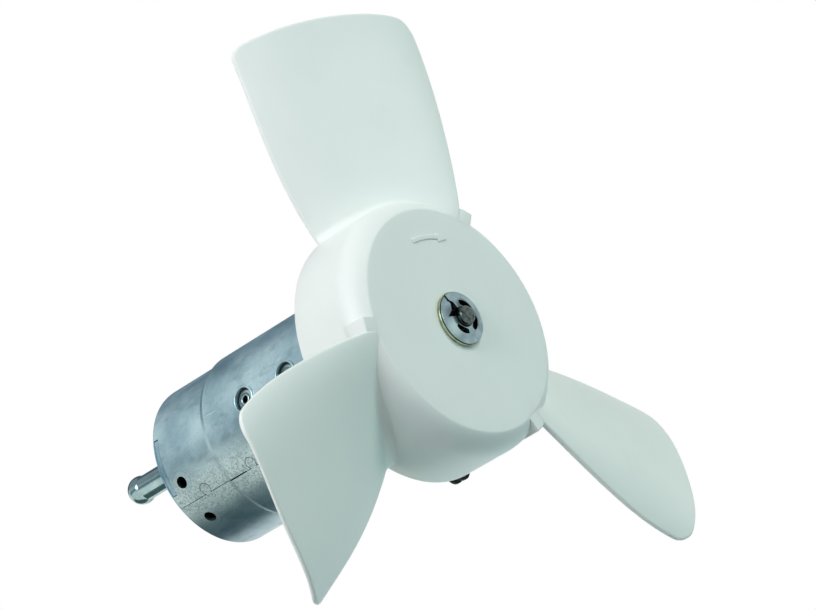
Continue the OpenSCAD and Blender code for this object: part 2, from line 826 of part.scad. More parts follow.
module magnet(middle) {
    color("darkslategray")
        on_axis()
            ring_sector(magnet_in_r, magnet_r, magnet_front, magnet_front + magnet_len,
                        middle - magnet_angle / 2, middle + magnet_angle / 2);
}
module magnet_a() magnet(magnet_a_angle);
module magnet_b() magnet(magnet_b_angle);

// Bent spring strip that pushes the magnets apart
module magnet_clip() {
    half = 90 - magnet_angle / 2 - 0.4;
    leg = 2;
    outer = can_in_r - 0.2;
    middle = bush_angle + 180;
    color("silver")
        on_axis()
            difference() {
                ring_sector(outer - 6, outer, magnet_front + 8, magnet_front + magnet_len - 8,
                            middle - half, middle + half);
                ring_sector(outer - 8, outer - 0.8, magnet_front, magnet_front + magnet_len,
                            middle - half + leg, middle + half - leg);
            }
}

// Rubber bush with a flange inside the can
module side_bush(at) {
    outer = can_r - eyelet_sink - 0.45;
    flange_top = can_in_r - 0.7;
    color("black")
        on_axis()
            at_polar(bush_angle)
                translate([0, 0, at])
                    rotate([0, 90, 0])
                        difference() {
                            union() {
                                translate([0, 0, flange_top - 1.4])
                                    cylinder(d = bush_hole_d - 2 * seat_play,
                                             h = outer - flange_top + 1.4);
                                translate([0, 0, flange_top - 1.4])
                                    cylinder(d = bush_hole_d + 3, h = 1.4);
                            }
                            translate([0, 0, can_r - 20]) cylinder(d = eyelet_d, h = 40);
                        }
}
module side_bush_front() side_bush(bush_depth);
module side_bush_rear() side_bush(bush_depth + bush_pitch);

// Steel eyelet whose flange lies on the rubber
module side_eyelet(at) {
    outer = can_r - eyelet_sink;
    length = outer - can_in_r + 2.6;
    color("silver")
        on_axis()
            at_polar(bush_angle)
                translate([0, 0, at])
                    rotate([0, 90, 0])
                        translate([0, 0, outer - length])
                            difference() {
                                union() {
                                    cylinder(d = eyelet_d - 2 * seat_play, h = length);
                                    translate([0, 0, length - 0.4])
                                        cylinder(d = eyelet_flange_d, h = 0.4);
                                }
                                translate([0, 0, -1])
                                    cylinder(d = eyelet_bore_d, h = length + 2);
                            }
}
module side_eyelet_front() side_eyelet(bush_depth);
module side_eyelet_rear() side_eyelet(bush_depth + bush_pitch);

module brush_card() {
    color("sienna")
        on_axis()
            ring(commutator_r + 2.5, can_rear_in_r - 0.1, card_front + seat_play,
                 card_front + seat_play + card_t);
}

holder_in = commutator_r + 3;
holder_out = commutator_r + brush_gap + brush_len + 6;

// Brass box that guides a brush, closed at its outer end
module brush_holder(a) {
    width = brush_t + 2 * (seat_play + holder_t);
    color("goldenrod")
        on_axis()
            at_polar(a)
                difference() {
                    translate([holder_in, -width / 2, brush_at - holder_half])
                        cube([holder_out - holder_in, width, 2 * holder_half]);
                    translate([holder_in - 1, -brush_t / 2 - seat_play,
                               brush_at - brush_w / 2 - seat_play])
                        cube([holder_out - holder_in + 1 - holder_t, brush_t + 2 * seat_play,
                              brush_w + 2 * seat_play]);
                }
}
module brush_holder_a() brush_holder(magnet_a_angle);
module brush_holder_b() brush_holder(magnet_b_angle);

// Carbon block, hollowed to the commutator's radius
module brush(a) {
    color("darkslategray")
        on_axis()
            difference() {
                at_polar(a)
                    translate([commutator_r - 1, -brush_t / 2, brush_at - brush_w / 2])
                        cube([brush_len + 1 + brush_gap, brush_t, brush_w]);
                translate([0, 0, commutator_front])
                    cylinder(r = commutator_r + brush_gap, h = commutator_len);
            }
}
module brush_a() brush(magnet_a_angle);
module brush_b() brush(magnet_b_angle);

// Coil spring between a brush and the closed end of its holder
module brush_spring(a) {
    wire = 0.6;
    coil_r = 1.7;
    turns = 4;
    steps = 12 * turns;
    sides = 6;
    from = commutator_r + brush_gap + brush_len + 0.1 + wire / 2;
    to = holder_out - holder_t - 0.1 - wire / 2;
    points = [
        for (k = [0:steps])
            for (i = [0:sides - 1])
                let(
                    turn = 360 * turns * k / steps,
                    r = coil_r + wire / 2 * cos(60 * i)
                )
                [from + (to - from) * k / steps + wire / 2 * sin(60 * i), r * cos(turn),
                 r * sin(turn)]
    ];
    faces = [
        [for (i = [0:sides - 1]) i],
        for (k = [0:steps - 1])
            for (i = [0:sides - 1])
                for (f = [
                    [sides * k + i, sides * (k + 1) + i, sides * (k + 1) + (i + 1) % sides],
                    [sides * k + i, sides * (k + 1) + (i + 1) % sides, sides * k + (i + 1) % sides]
                ]) f,
        [for (i = [sides - 1:-1:0]) sides * steps + i]
    ];
    color("silver")
        on_axis()
            at_polar(a)
                translate([0, 0, brush_at])
                    polyhedron(points = points, faces = faces, convexity = 6);
}
module brush_spring_a() brush_spring(magnet_a_angle);
module brush_spring_b() brush_spring(magnet_b_angle);

// Two suppressor coils that stand on the brush card
module choke_coils() {
    length = 13;
    color("peru")
        on_axis()
            for (side = [-1, 1])
                at_polar(magnet_a_angle + 90 * side, can_rear_in_r - 9)
                    translate([0, 0, card_front - length]) {
                        cylinder(r = 2, h = length);
                        translate([0, 0, 1.5]) cylinder(r = 3.2, h = length - 3);
                    }
}

// Pressed cap with the rear bearing's cup, a rim on the can's edge and a tab in the can's notch
module rear_cap() {
    tab_play = 0.5;
    rim_front = can_rear - cap_rim + seat_play;
    rim_soft = 0.6;
    wall_in_r = can_rear_in_r - 1.4;
    color("gainsboro")
        on_axis()
            difference() {
                union() {
                    rotate_extrude()
                        polygon([
                            [cup_in_r, cap_front], [can_rear_in_r - seat_play, cap_front],
                            [can_rear_in_r - seat_play, rim_front], [can_rear_r - seat_play, rim_front],
                            [can_rear_r - seat_play, can_rear - rim_soft],
                            [can_rear_r - seat_play - rim_soft, can_rear], [wall_in_r, can_rear],
                            [wall_in_r, cap_rear], [cup_in_r, cap_rear]
                        ]);
                    ring(cup_in_r, cup_out_r, rear_bearing_at - bearing_len / 2, cap_floor);
                    translate([0, 0, cap_floor]) cylinder(r = cup_out_r, h = bearing_cup_t);
                    ring_sector(can_rear_in_r - 0.7, can_rear_r - 0.3, can_rear - notch_h + 0.4,
                                rim_front + 0.2, notch_from + tab_play, notch_to - tab_play);
                }
                at_polar(spigot_angle, spigot_r)
                    translate([0, 0, cap_front - 5])
                        cylinder(d = spigot_d + 2 * seat_play, h = 20);
            }
}

module thrust_pad() {
    color("ivory")
        on_axis() translate([0, 0, cap_floor - pad_t]) cylinder(r = shaft_r - 0.3, h = pad_t);
}

// Hose spigot: tube with a rounded bead at its open end
module vent_spigot() {
    r = spigot_d / 2;
    bead_r = bead_d / 2;
    bead_at = cap_rear + spigot_len - bead_r * 0.7;
    color("lightsteelblue")
        on_axis()
            at_polar(spigot_angle, spigot_r)
                difference() {
                    union() {
                        translate([0, 0, cap_front - 1])
                            cylinder(r = r, h = bead_at - cap_front + 1);
                        intersection() {
                            translate([0, 0, bead_at]) sphere(bead_r);
                            translate([0, 0, bead_at - bead_r * 0.55])
                                cylinder(r = bead_r + 1, h = bead_r * 1.25);
                        }
                    }
                    translate([0, 0, cap_front - 5])
                        cylinder(r = r - spigot_t, h = spigot_len + 20);
                }
}

fan();
flat_washer();
spring_nut();
shaft();
drive_pin();
slinger();
thrust_collar();
front_thrust_washer();
armature_core();
armature_windings();
commutator_hub();
commutator_bars();
rear_thrust_washer();
motor_can();
front_plate();
front_bearing();
front_bearing_clip();
lead_grommet();
magnet_a();
magnet_b();
magnet_clip();
side_bush_front();
side_bush_rear();
side_eyelet_front();
side_eyelet_rear();
brush_card();
brush_holder_a();
brush_holder_b();
brush_a();
brush_b();
brush_spring_a();
brush_spring_b();
choke_coils();
rear_cap();
rear_bearing();
rear_bearing_clip();
thrust_pad();
vent_spigot();
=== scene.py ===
"""Looks of a three-blade cooling fan on its steel-can motor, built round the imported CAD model.

Lengths in the functions are millimetres; place() turns them into the frame's metres. A depth is the
distance behind the flat face of the hub, and an angle turns clockwise from +Z, seen from that face.
"""

import math

import bpy
import numpy as np
from mathutils import Euler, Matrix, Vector


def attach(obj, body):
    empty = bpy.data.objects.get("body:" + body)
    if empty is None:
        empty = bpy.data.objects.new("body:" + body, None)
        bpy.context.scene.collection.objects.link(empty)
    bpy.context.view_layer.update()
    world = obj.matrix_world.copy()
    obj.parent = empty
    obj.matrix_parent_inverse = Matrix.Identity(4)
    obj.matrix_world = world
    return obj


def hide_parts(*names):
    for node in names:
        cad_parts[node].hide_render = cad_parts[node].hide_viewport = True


bl_info = {
    "name": "Cooling fan with motor",
    "version": (1, 0, 0),
    "blender": (4, 5, 0),
    "location": "View3D > Sidebar > Cooling fan",
    "description": "Dresses the CAD model of a cooling fan and its motor",
    "category": "Add Mesh",
}

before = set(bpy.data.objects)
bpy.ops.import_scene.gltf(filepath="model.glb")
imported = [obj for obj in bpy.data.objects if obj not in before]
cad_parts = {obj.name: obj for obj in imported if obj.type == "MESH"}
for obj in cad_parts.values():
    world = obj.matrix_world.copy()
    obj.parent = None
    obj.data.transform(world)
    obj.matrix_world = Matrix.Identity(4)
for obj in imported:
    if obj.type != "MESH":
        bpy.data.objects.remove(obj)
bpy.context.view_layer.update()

MM = 0.001
DATUM = 40.3  # depth of the frame's origin, the front plate's mounting face

# Hub cup
HUB_R = 55.0
HUB_DEPTH = 36.3
HUB_ROUND = 13.0
RIM_AT = 11.3  # depth of the rim arc's centre; the flat face cuts the arc off crisply
FACE_EDGE_R = HUB_R - HUB_ROUND + math.sqrt(HUB_ROUND**2 - RIM_AT**2)
WALL = 2.5
FACE_T = 3.0
BOSS_R = 11.0
BOSS_DEPTH = 22.3
SHAFT_R = 4.0
PIN_SLOT = 3.4  # depth of the cross pin's slot in the boss

# Blades: four stations from the root to the tip
TIP_R = 140.5
LEAD_ANGLE = (27.2, 23.4, 20.3, 16.2)
TRAIL_ANGLE = (-26.6, -23.3, -19.4, -16.4)
LEAD_DEPTH = (1.5, 3.1, 5.1, 5.9)
TRAIL_DEPTH = (35.5, 35.7, 34.6, 34.4)
ROOT_CAMBER, TIP_CAMBER, CAMBER_SPREAD = 4.5, 7.4, 0.8
ROOT_HALF_T, TIP_HALF_T = 1.4, 1.0
LEAD_CORNER, TRAIL_CORNER = 7.0, 4.6
FRONT_FILLET, BACK_FILLET = 4.0, 4.0
PAD_ANGLES = (15.0, 30.0, 33.6)

# Motor
CAN_R = 36.6
CAN_REAR_R = 35.3
CAN_REAR = 149.3
BUSH_ANGLE = -106.0
BUSH_DEPTHS = (64.3, 90.0)
EYELET_SINK = 0.9
SEAM_ANGLE = -147.0
VENT_ANGLES = (-131.8, -162.2)
VENT_DEPTH = 139.7
SPIGOT_ANGLE, SPIGOT_R = -119.0, 27.5

# Soft lamps: name, direction from the fan, power in watts, colour and whether gloss shows them
LAMPS = (
    ("key_light", (-1.0, -0.15, 0.0), 38.0, "#F8F4FF", True),
    ("rear_left_light", (-0.8, 0.5, -0.3), 18.0, "#FFFAE8", False),
    ("front_right_light", (0.6, -0.8, 0.0), 10.0, "#B4FBFF", False),
    ("upper_front_light", (-0.2, -0.75, 0.6), 31.0, "#FDFEF3", False),
    ("upper_light", (0.5, -0.6, 0.6), 4.6, "#E8DCFF", False),
    ("side_light", (1.0, 0.6, -0.33), 21.0, "#DCFFFF", False),
)
# Dark cloths that only gloss shows: name, direction, half sizes in metres and shade
CARDS = (
    ("low_cloth", (0.425, 0.62, -0.654), (0.83, 1.4), "#586C70"),
    ("high_cloth", (0.10, 0.62, 0.773), (0.78, 1.4), "#8193A0"),
    ("side_cloth", (-0.75, 0.62, -0.215), (0.28, 1.4), "#93A5B0"),
)


# Surfaces


def place(radius, angle, depth):
    """Point at a radius and an angle round the shaft and a depth: x = r sin a, z = r cos a, y = depth
    less the datum, in metres."""
    a = np.radians(angle)
    x, z = radius * np.sin(a), radius * np.cos(a)
    y = depth - DATUM + 0 * x
    return np.stack(np.broadcast_arrays(x, y, z), axis=-1) * MM


def direction(angle):
    """Unit vector that points away from the shaft at an angle."""
    a = math.radians(angle)
    return np.array([math.sin(a), 0.0, math.cos(a)])


def about(point, axis, along, radius, angle):
    """Points round any axis: the axis' point plus a distance along it plus a radius turned by the
    angle in the plane across it. All lengths in millimetres, result in metres."""
    n = np.asarray(axis, float)
    n /= np.linalg.norm(n)
    u = np.cross(n, [0, 0, 1.0] if abs(n[2]) < 0.9 else [1.0, 0, 0])
    u /= np.linalg.norm(u)
    w = np.cross(n, u)
    a = np.asarray(angle)[..., None]
    r = np.asarray(radius)[..., None]
    h = np.asarray(along)[..., None]
    return (np.asarray(point, float) + h * n + r * (np.cos(a) * u + np.sin(a) * w)) * MM


def grid_quads(rows, columns, wrap_rows=False, wrap_columns=False):
    """Quads of a grid whose points are numbered row by row; a wrapped side joins its far side."""
    j = np.arange(rows if wrap_rows else rows - 1)[:, None]
    i = np.arange(columns if wrap_columns else columns - 1)[None, :]
    j2, i2 = (j + 1) % rows, (i + 1) % columns
    quads = [j * columns + i, j * columns + i2, j2 * columns + i2, j2 * columns + i]
    return np.stack(np.broadcast_arrays(*quads), axis=-1).reshape(-1, 4)


def outward(points, quads):
    """Turns a closed shell's faces outwards: the volume under all faces, summed as triple products of
    their corners, is negative when they point inwards."""
    p = points[quads]
    volume = (np.einsum("ij,ij->i", p[:, 0], np.cross(p[:, 1], p[:, 2])).sum()
              + np.einsum("ij,ij->i", p[:, 0], np.cross(p[:, 2], p[:, 3])).sum())
    return quads[:, ::-1] if volume < 0 else quads


def merge(*shells):
    """Joins several closed (points, quads) shells into one, with points at one place welded."""
    points, quads, start = [], [], 0
    for p, q in shells:
        p = np.reshape(p, (-1, 3))
        _, first, back = np.unique(np.round(p, 8), axis=0, return_index=True, return_inverse=True)
        points.append(p[first])
        quads.append(outward(points[-1], back.ravel()[np.asarray(q)]) + start)
        start += len(first)
    return np.concatenate(points), np.concatenate(quads)


def make_piece(name, shells, material, body, replaces=(), sharp=35.0, bevel_mm=0.0):
    """Puts closed shells into one mesh. Quads with two equal corners become triangles."""
    points, quads = merge(*shells)
    keep = np.stack([quads[:, k] != quads[:, (k + 1) % 4] for k in range(4)], axis=1)
    whole = keep.sum(axis=1) >= 3
    quads, keep = quads[whole], keep[whole]
    counts = keep.sum(axis=1)
    loops = quads[keep]
    used, loops = np.unique(loops, return_inverse=True)
    points, loops = points[used], loops.ravel()
    mesh = bpy.data.meshes.new(name)
    mesh.vertices.add(len(points))
    mesh.vertices.foreach_set("co", points.astype(np.float32).ravel())
    mesh.loops.add(len(loops))
    mesh.loops.foreach_set("vertex_index", loops.astype(np.int32))
    mesh.polygons.add(len(counts))
    starts = np.concatenate([[0], np.cumsum(counts)[:-1]])
    mesh.polygons.foreach_set("loop_start", starts.astype(np.int32))
    mesh.polygons.foreach_set("loop_total", counts.astype(np.int32))
    mesh.update(calc_edges=True)
    mesh.validate()
    mesh.shade_smooth()
    mesh.set_sharp_from_angle(angle=math.radians(sharp))
    piece = bpy.data.objects.new(name, mesh)
    bpy.context.scene.collection.objects.link(piece)
    piece.data.materials.append(material)
    if bevel_mm:
        bevel = piece.modifiers.new("soft_edges", "BEVEL")
        bevel.width = bevel_mm * MM
        bevel.segments = 2
        bevel.limit_method = "ANGLE"
        bevel.angle_limit = math.radians(40)
        bevel.harden_normals = True
    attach(piece, body)
    if replaces:
        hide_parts(*replaces)
    return piece


def arc(cx, cy, r, start, end, steps):
    """Points of a circle's arc in a flat profile, angles in degrees from +x towards +y."""
    a = np.radians(np.linspace(start, end, steps))
    return np.stack([cx + r * np.cos(a), cy + r * np.sin(a)], axis=1)


def rounded(profile, radius, steps=4):
    """Rounds the corners of a closed profile: each corner point is replaced by a quadratic curve that
    starts a radius before it and ends a radius after it."""
    p = np.asarray(profile, float)
    r = np.broadcast_to(np.asarray(radius, float), (len(p),))
    before, after = np.roll(p, 1, 0) - p, np.roll(p, -1, 0) - p
    lb, la = np.linalg.norm(before, axis=1), np.linalg.norm(after, axis=1)
    reach = np.minimum(r, np.minimum(lb, la) * 0.49)[:, None]
    a, b = p + before / lb[:, None] * reach, p + after / la[:, None] * reach
    t = np.linspace(0, 1, steps)[None, :, None]
    curve = a[:, None] * (1 - t) ** 2 + 2 * p[:, None] * t * (1 - t) + b[:, None] * t**2
    return curve.reshape(-1, 2)


def turned(profile, steps=128):
    """Closed (radius, depth) profile carried round the shaft's axis."""
    angle = np.arange(steps) * 360.0 / steps
    p = np.asarray(profile)
    return place(p[None, :, 0], angle[:, None], p[None, :, 1]), grid_quads(steps, len(p), True, True)


def turned_about(point, axis, profile, steps=64):
    """Closed (radius, distance along) profile carried round any axis."""
    angle = np.arange(steps)[:, None] * 2 * np.pi / steps
    p = np.asarray(profile)[None]
    pts = about(point, axis, p[..., 1] + 0 * angle, p[..., 0] + 0 * angle, angle + 0 * p[..., 0])
    return pts, grid_quads(steps, p.shape[1], True, True)


def sector(profile, a_from, a_to, steps=12, heart=None, soft=0.0, gap=0.0):
    """Closed (radius, depth) profile carried through part of a turn and closed by a fan at each end.
    heart is the fan's centre. Near the ends the profile shrinks towards it, which rounds the end's
    edges by soft. With a gap, each point stays half the gap away from the planes through the shaft at
    both ends: its angle keeps asin(gap / r) clear."""
    p = np.asarray(profile, float)
    c = p.mean(axis=0) if heart is None else np.asarray(heart, float)
    inset = np.concatenate([[soft, soft * 0.3], np.zeros(steps - 4), [soft * 0.3, soft]])
    t = np.linspace(0, 1, steps - 2)
    t = np.concatenate([[0, soft * 0.3], t[1:-1], [0, 0]])
    turn = math.radians(a_to - a_from) * c[0]
    t[1] = soft * 0.3 / turn
    t[2] = max(t[2], soft / turn)
    t[-3] = min(t[-3], 1 - soft / turn)
    t[-2], t[-1] = 1 - soft * 0.3 / turn, 1.0
    away = p - c
    size = np.linalg.norm(away, axis=1)[:, None]
    rows = c + away * (1 - np.minimum(inset[:, None, None] / size, 0.9))
    clear = np.degrees(np.arcsin(np.clip(gap / rows[..., 0], 0, 1)))
    angle = a_from + clear + (a_to - a_from - 2 * clear) * t[:, None]
    body = place(rows[..., 0], angle, rows[..., 1])
    n = len(p)
    i = np.arange(n)
    quads, ends = [grid_quads(steps, n, False, True)], []
    for k, base in enumerate((0, (steps - 1) * n)):
        ends.append(place(c[0], angle[0 if k == 0 else -1].mean(), c[1])[None])
        hub = steps * n + k + 0 * i
        a, b = base + i, base + (i + 1) % n
        quads.append(np.stack([a, hub, hub, b] if k == 0 else [b, hub, hub, a], axis=1))
    return np.concatenate([body.reshape(-1, 3)] + ends), np.concatenate(quads)


def pierced_sheet(front, back, solid):
    """Sheet between two skins on one grid, with some of the grid's cells left out. Solid cells get a
    face on each skin, and a wall stands wherever a solid cell meets an empty one."""
    rows, columns = front.shape[:2]
    v = np.arange(rows * columns).reshape(rows, columns)
    b = v + rows * columns
    s = np.pad(solid, 1)
    cell = (slice(0, -1), slice(0, -1)), (slice(0, -1), slice(1, None)), (slice(1, None), slice(1, None)), \
        (slice(1, None), slice(0, -1))
    quads = [np.stack([v[c] for c in cell], -1)[solid], np.stack([b[c] for c in cell], -1)[solid][:, ::-1]]
    here, before = s[1:, 1:-1], s[:-1, 1:-1]
    edge = np.stack([v[:, :-1], v[:, 1:], b[:, 1:], b[:, :-1]], -1)
    quads += [edge[before & ~here], edge[here & ~before][:, ::-1]]
    here, before = s[1:-1, 1:], s[1:-1, :-1]
    edge = np.stack([v[1:], v[:-1], b[:-1], b[1:]], -1)
    quads += [edge[before & ~here], edge[here & ~before][:, ::-1]]
    return np.concatenate([front.reshape(-1, 3), back.reshape(-1, 3)]), np.concatenate(quads)


def low_plate(outline, front, back, soft):
    """Low solid over a convex outline of (x, z) points, whose front edge is rounded off by soft: the
    outline is carried from back to front and shrinks towards its middle over the last part."""
    p = np.asarray(outline, float)
    c = p.mean(axis=0)
    away = p - c
    size = np.linalg.norm(away, axis=1)[:, None]
    inset = np.array([0, 0, 0.3, 1.0])[:, None, None] * soft
    depth = np.array([back, front + soft, front + 0.3 * soft, front])
    flat = c + away * (1 - inset / size)
    ring = np.stack([flat[..., 0], depth[:, None] - DATUM + 0 * flat[..., 0], flat[..., 1]], -1).reshape(-1, 3)
    ends = np.array([[c[0], back - DATUM, c[1]], [c[0], front - DATUM, c[1]]])
    n = len(p)
    i = np.arange(n)
    hub = 4 * n + 0 * i
    quads = [grid_quads(4, n, False, True), np.stack([i, hub, hub, (i + 1) % n], 1),
             np.stack([3 * n + (i + 1) % n, hub + 1, hub + 1, 3 * n + i], 1)]
    return np.concatenate([ring, ends]) * MM, np.concatenate(quads)


def hub_surface_r(depth):
    """Outer radius of the hub at a depth: straight wall, then the rim's arc."""
    inside = np.clip(RIM_AT - np.asarray(depth, float), 0, RIM_AT)
    return HUB_R - HUB_ROUND + np.sqrt(HUB_ROUND**2 - inside**2)


def stations(values, radius):
    """Cubic through four values at equal steps from the hub to the tip."""
    t = (radius - HUB_R) / (TIP_R - HUB_R)
    a, b, c, d = values
    return (a * (1 - 3 * t) * (1 - 1.5 * t) * (1 - t) + b * 9 * t * (1 - 1.5 * t) * (1 - t)
            - c * 4.5 * t * (1 - 3 * t) * (1 - t) + d * t * (1 - 3 * t) * (1 - 1.5 * t))


def blade_section(radius, s):
    """Middle of the blade's section: angle and depth at a radius, the section's unit normal towards
    the face, and half its width. s runs from -1 at the trailing edge to 1 at the leading edge. The
    depth runs straight from edge to edge, less a camber of (1 - s^2)(1 + k s^2)."""
    r = np.maximum(radius, HUB_R)
    la, ta = stations(LEAD_ANGLE, r), stations(TRAIL_ANGLE, r)
    ld, td = stations(LEAD_DEPTH, r), stations(TRAIL_DEPTH, r)
    t = np.clip((r - HUB_R) / (TIP_R - HUB_R), 0, 1)
    camber, k = ROOT_CAMBER + (TIP_CAMBER - ROOT_CAMBER) * t, CAMBER_SPREAD
    angle = (la + ta) / 2 + (la - ta) / 2 * s
    depth = (ld + td) / 2 + (ld - td) / 2 * s - camber * (1 - s**2) * (1 + k * s**2)
    slope = (ld - td) / 2 - camber * (2 * (k - 1) * s - 4 * k * s**3)
    half = (la - ta) / 2 * np.pi / 180 * r
    size = np.hypot(half, slope)
    return angle, depth, slope / size, -half / size, half


def blade_shell(turn):
    """One blade: front and back skins that share their outline. Half the thickness is added to the
    middle surface along its normal, and grows from nothing at the outline as part of a superellipse.
    The root flares into the hub by R - sqrt(R^2 - (R - d)^2) at a distance d from the hub."""
    columns, fillet, rows = 81, 14, 64
    s = np.sin(np.linspace(-1, 1, columns) * np.pi / 2)[None, :]
    d = np.concatenate([[-1.0], FRONT_FILLET * (1 - np.cos(np.linspace(0.06, np.pi / 2, fillet)))])
    u = np.sin(np.linspace(0, 1, rows + 1)[1:] * np.pi / 2)
    half_tip = blade_section(np.array(TIP_R), s)[4]
    corner = np.where(s > 0, LEAD_CORNER, TRAIL_CORNER)
    side = (1 - np.abs(s)) * half_tip
    drop = np.where(side < corner, corner - np.sqrt(np.maximum(corner**2 - (corner - side) ** 2, 0)), 0)
    tip = TIP_R - drop
    skins = []
    for sign, reach in ((1, FRONT_FILLET), (-1, BACK_FILLET)):
        _, root_depth, _, _, _ = blade_section(np.array(HUB_R), s)
        if sign > 0:
            flare = np.clip(root_depth - ROOT_HALF_T - 0.3, 0, reach)
            start = hub_surface_r(root_depth - ROOT_HALF_T - flare)
        else:
            flare = np.clip(HUB_DEPTH - root_depth - ROOT_HALF_T, 0, reach)
            start = hub_surface_r(root_depth)
        near = start + d[:, None]
        far = start + FRONT_FILLET + (tip - start - FRONT_FILLET) * u[:, None]
        r = np.concatenate([near, far])
        t = np.clip((r - HUB_R) / (TIP_R - HUB_R), 0, 1)
        thick = ROOT_HALF_T + (TIP_HALF_T - ROOT_HALF_T) * t
        away = np.clip(r - start, 0, None)
        x = np.clip(away / np.maximum(flare, 0.01), 0, 1)
        share = 1 - np.sqrt(1 - (1 - x) ** 2)
        angle, depth, n_arc, n_depth, half = blade_section(r, s)
        from_side = (1 - np.abs(s)) * half
        from_tip = TIP_R - r
        in_corner = (from_side < corner) & (from_tip < corner)
        edge = np.where(in_corner, corner - np.hypot(corner - from_side, corner - from_tip),
                        np.minimum(from_side, from_tip))
        edge[:, [0, -1]] = 0
        edge[-1, :] = 0
        soft = 1.1 + 0.4 * flare * share
        x = np.clip(1 - np.clip(edge, 0, None) / soft, 0, 1)
        off = sign * (thick + flare * share) * (1 - x**2.4) ** (1 / 2.4)
        skins.append(place(r, turn + angle + np.degrees(off * n_arc / r), depth + off * n_depth))
    total = skins[0].shape[0]
    front = np.arange(total * columns).reshape(total, columns)
    back = front.copy()
    inner = np.ones(back.shape, bool)
    inner[:, [0, -1]] = False
    inner[-1, :] = False
    back[inner] = front.size + np.arange(inner.sum())
    points = np.concatenate([skins[0].reshape(-1, 3), skins[1][inner]])
    quads = grid_quads(total, columns)
    root = np.stack([front[0, 1:], front[0, :-1], back[0, :-1], back[0, 1:]], axis=1)
    return points, np.concatenate([quads, back.ravel()[quads][:, ::-1], root])


def hub_shell():
    """Cup of the hub turned from one closed profile: face, crisp edge, rim arc, wall, rear edge, inside
    and boss."""
    inner = HUB_ROUND - WALL
    centre = HUB_R - HUB_ROUND
    edge = math.degrees(math.asin(RIM_AT / HUB_ROUND))
    floor = math.degrees(math.asin((RIM_AT - FACE_T) / inner))
    slot_at = BOSS_DEPTH - PIN_SLOT
    profile = np.concatenate([
        [[SHAFT_R + 0.05, 0.3], [SHAFT_R + 0.35, 0]],
        np.stack([np.linspace(8, FACE_EDGE_R - 0.45, 9), np.zeros(9)], axis=1),
        [[FACE_EDGE_R - 0.16, 0.02], [FACE_EDGE_R + 0.16, 0.13]],
        arc(centre, RIM_AT, HUB_ROUND, -edge + 2.2, 0, 26),
        [[HUB_R, 20], [HUB_R, 30]],
        arc(HUB_R - 0.6, HUB_DEPTH - 0.6, 0.6, 0, 90, 5),
        arc(HUB_R - WALL + 0.6, HUB_DEPTH - 0.6, 0.6, 90, 180, 5),
        [[HUB_R - WALL, 25]],
        arc(centre, RIM_AT, inner, 0, -floor, 14),
        [[20, FACE_T]],
        arc(BOSS_R + 1.5, FACE_T + 1.5, 1.5, -90, -180, 5),
        [[BOSS_R, slot_at], [SHAFT_R + 0.05, slot_at]],
    ])
    return turned(profile, 180)


def rib_shell(angle):
    """Flat rib from the boss to the wall: its outline in radius and depth, given a thickness."""
    lap = 0.3
    centre, round_r = HUB_R - HUB_ROUND, HUB_ROUND - WALL + lap
    floor = math.degrees(math.asin((RIM_AT - FACE_T + lap) / round_r))
    curve = arc(centre, RIM_AT, round_r, -floor, 0, 10)
    wall_r = centre + round_r
    outline = np.concatenate([[[10.0, FACE_T - lap]], curve,
                              [[wall_r, 13.6], [wall_r - 1.2, 14.0], [10.0, 14.0]]])
    n = len(outline)
    sides = []
    for offset in (-1.0, 1.0):
        r = np.hypot(outline[:, 0], offset)
        sides.append(place(r, angle + np.degrees(np.arctan2(offset, outline[:, 0])), outline[:, 1]))
    points = np.concatenate(sides + [s.mean(axis=0)[None] for s in sides])
    i = np.arange(n)
    nxt = (i + 1) % n
    caps = [np.stack([i, nxt, 2 * n + 0 * i, 2 * n + 0 * i], 1),
            np.stack([n + nxt, n + i, 2 * n + 1 + 0 * i, 2 * n + 1 + 0 * i], 1)]
    return points, np.concatenate([np.stack([i, n + i, n + nxt, nxt], 1)] + caps)


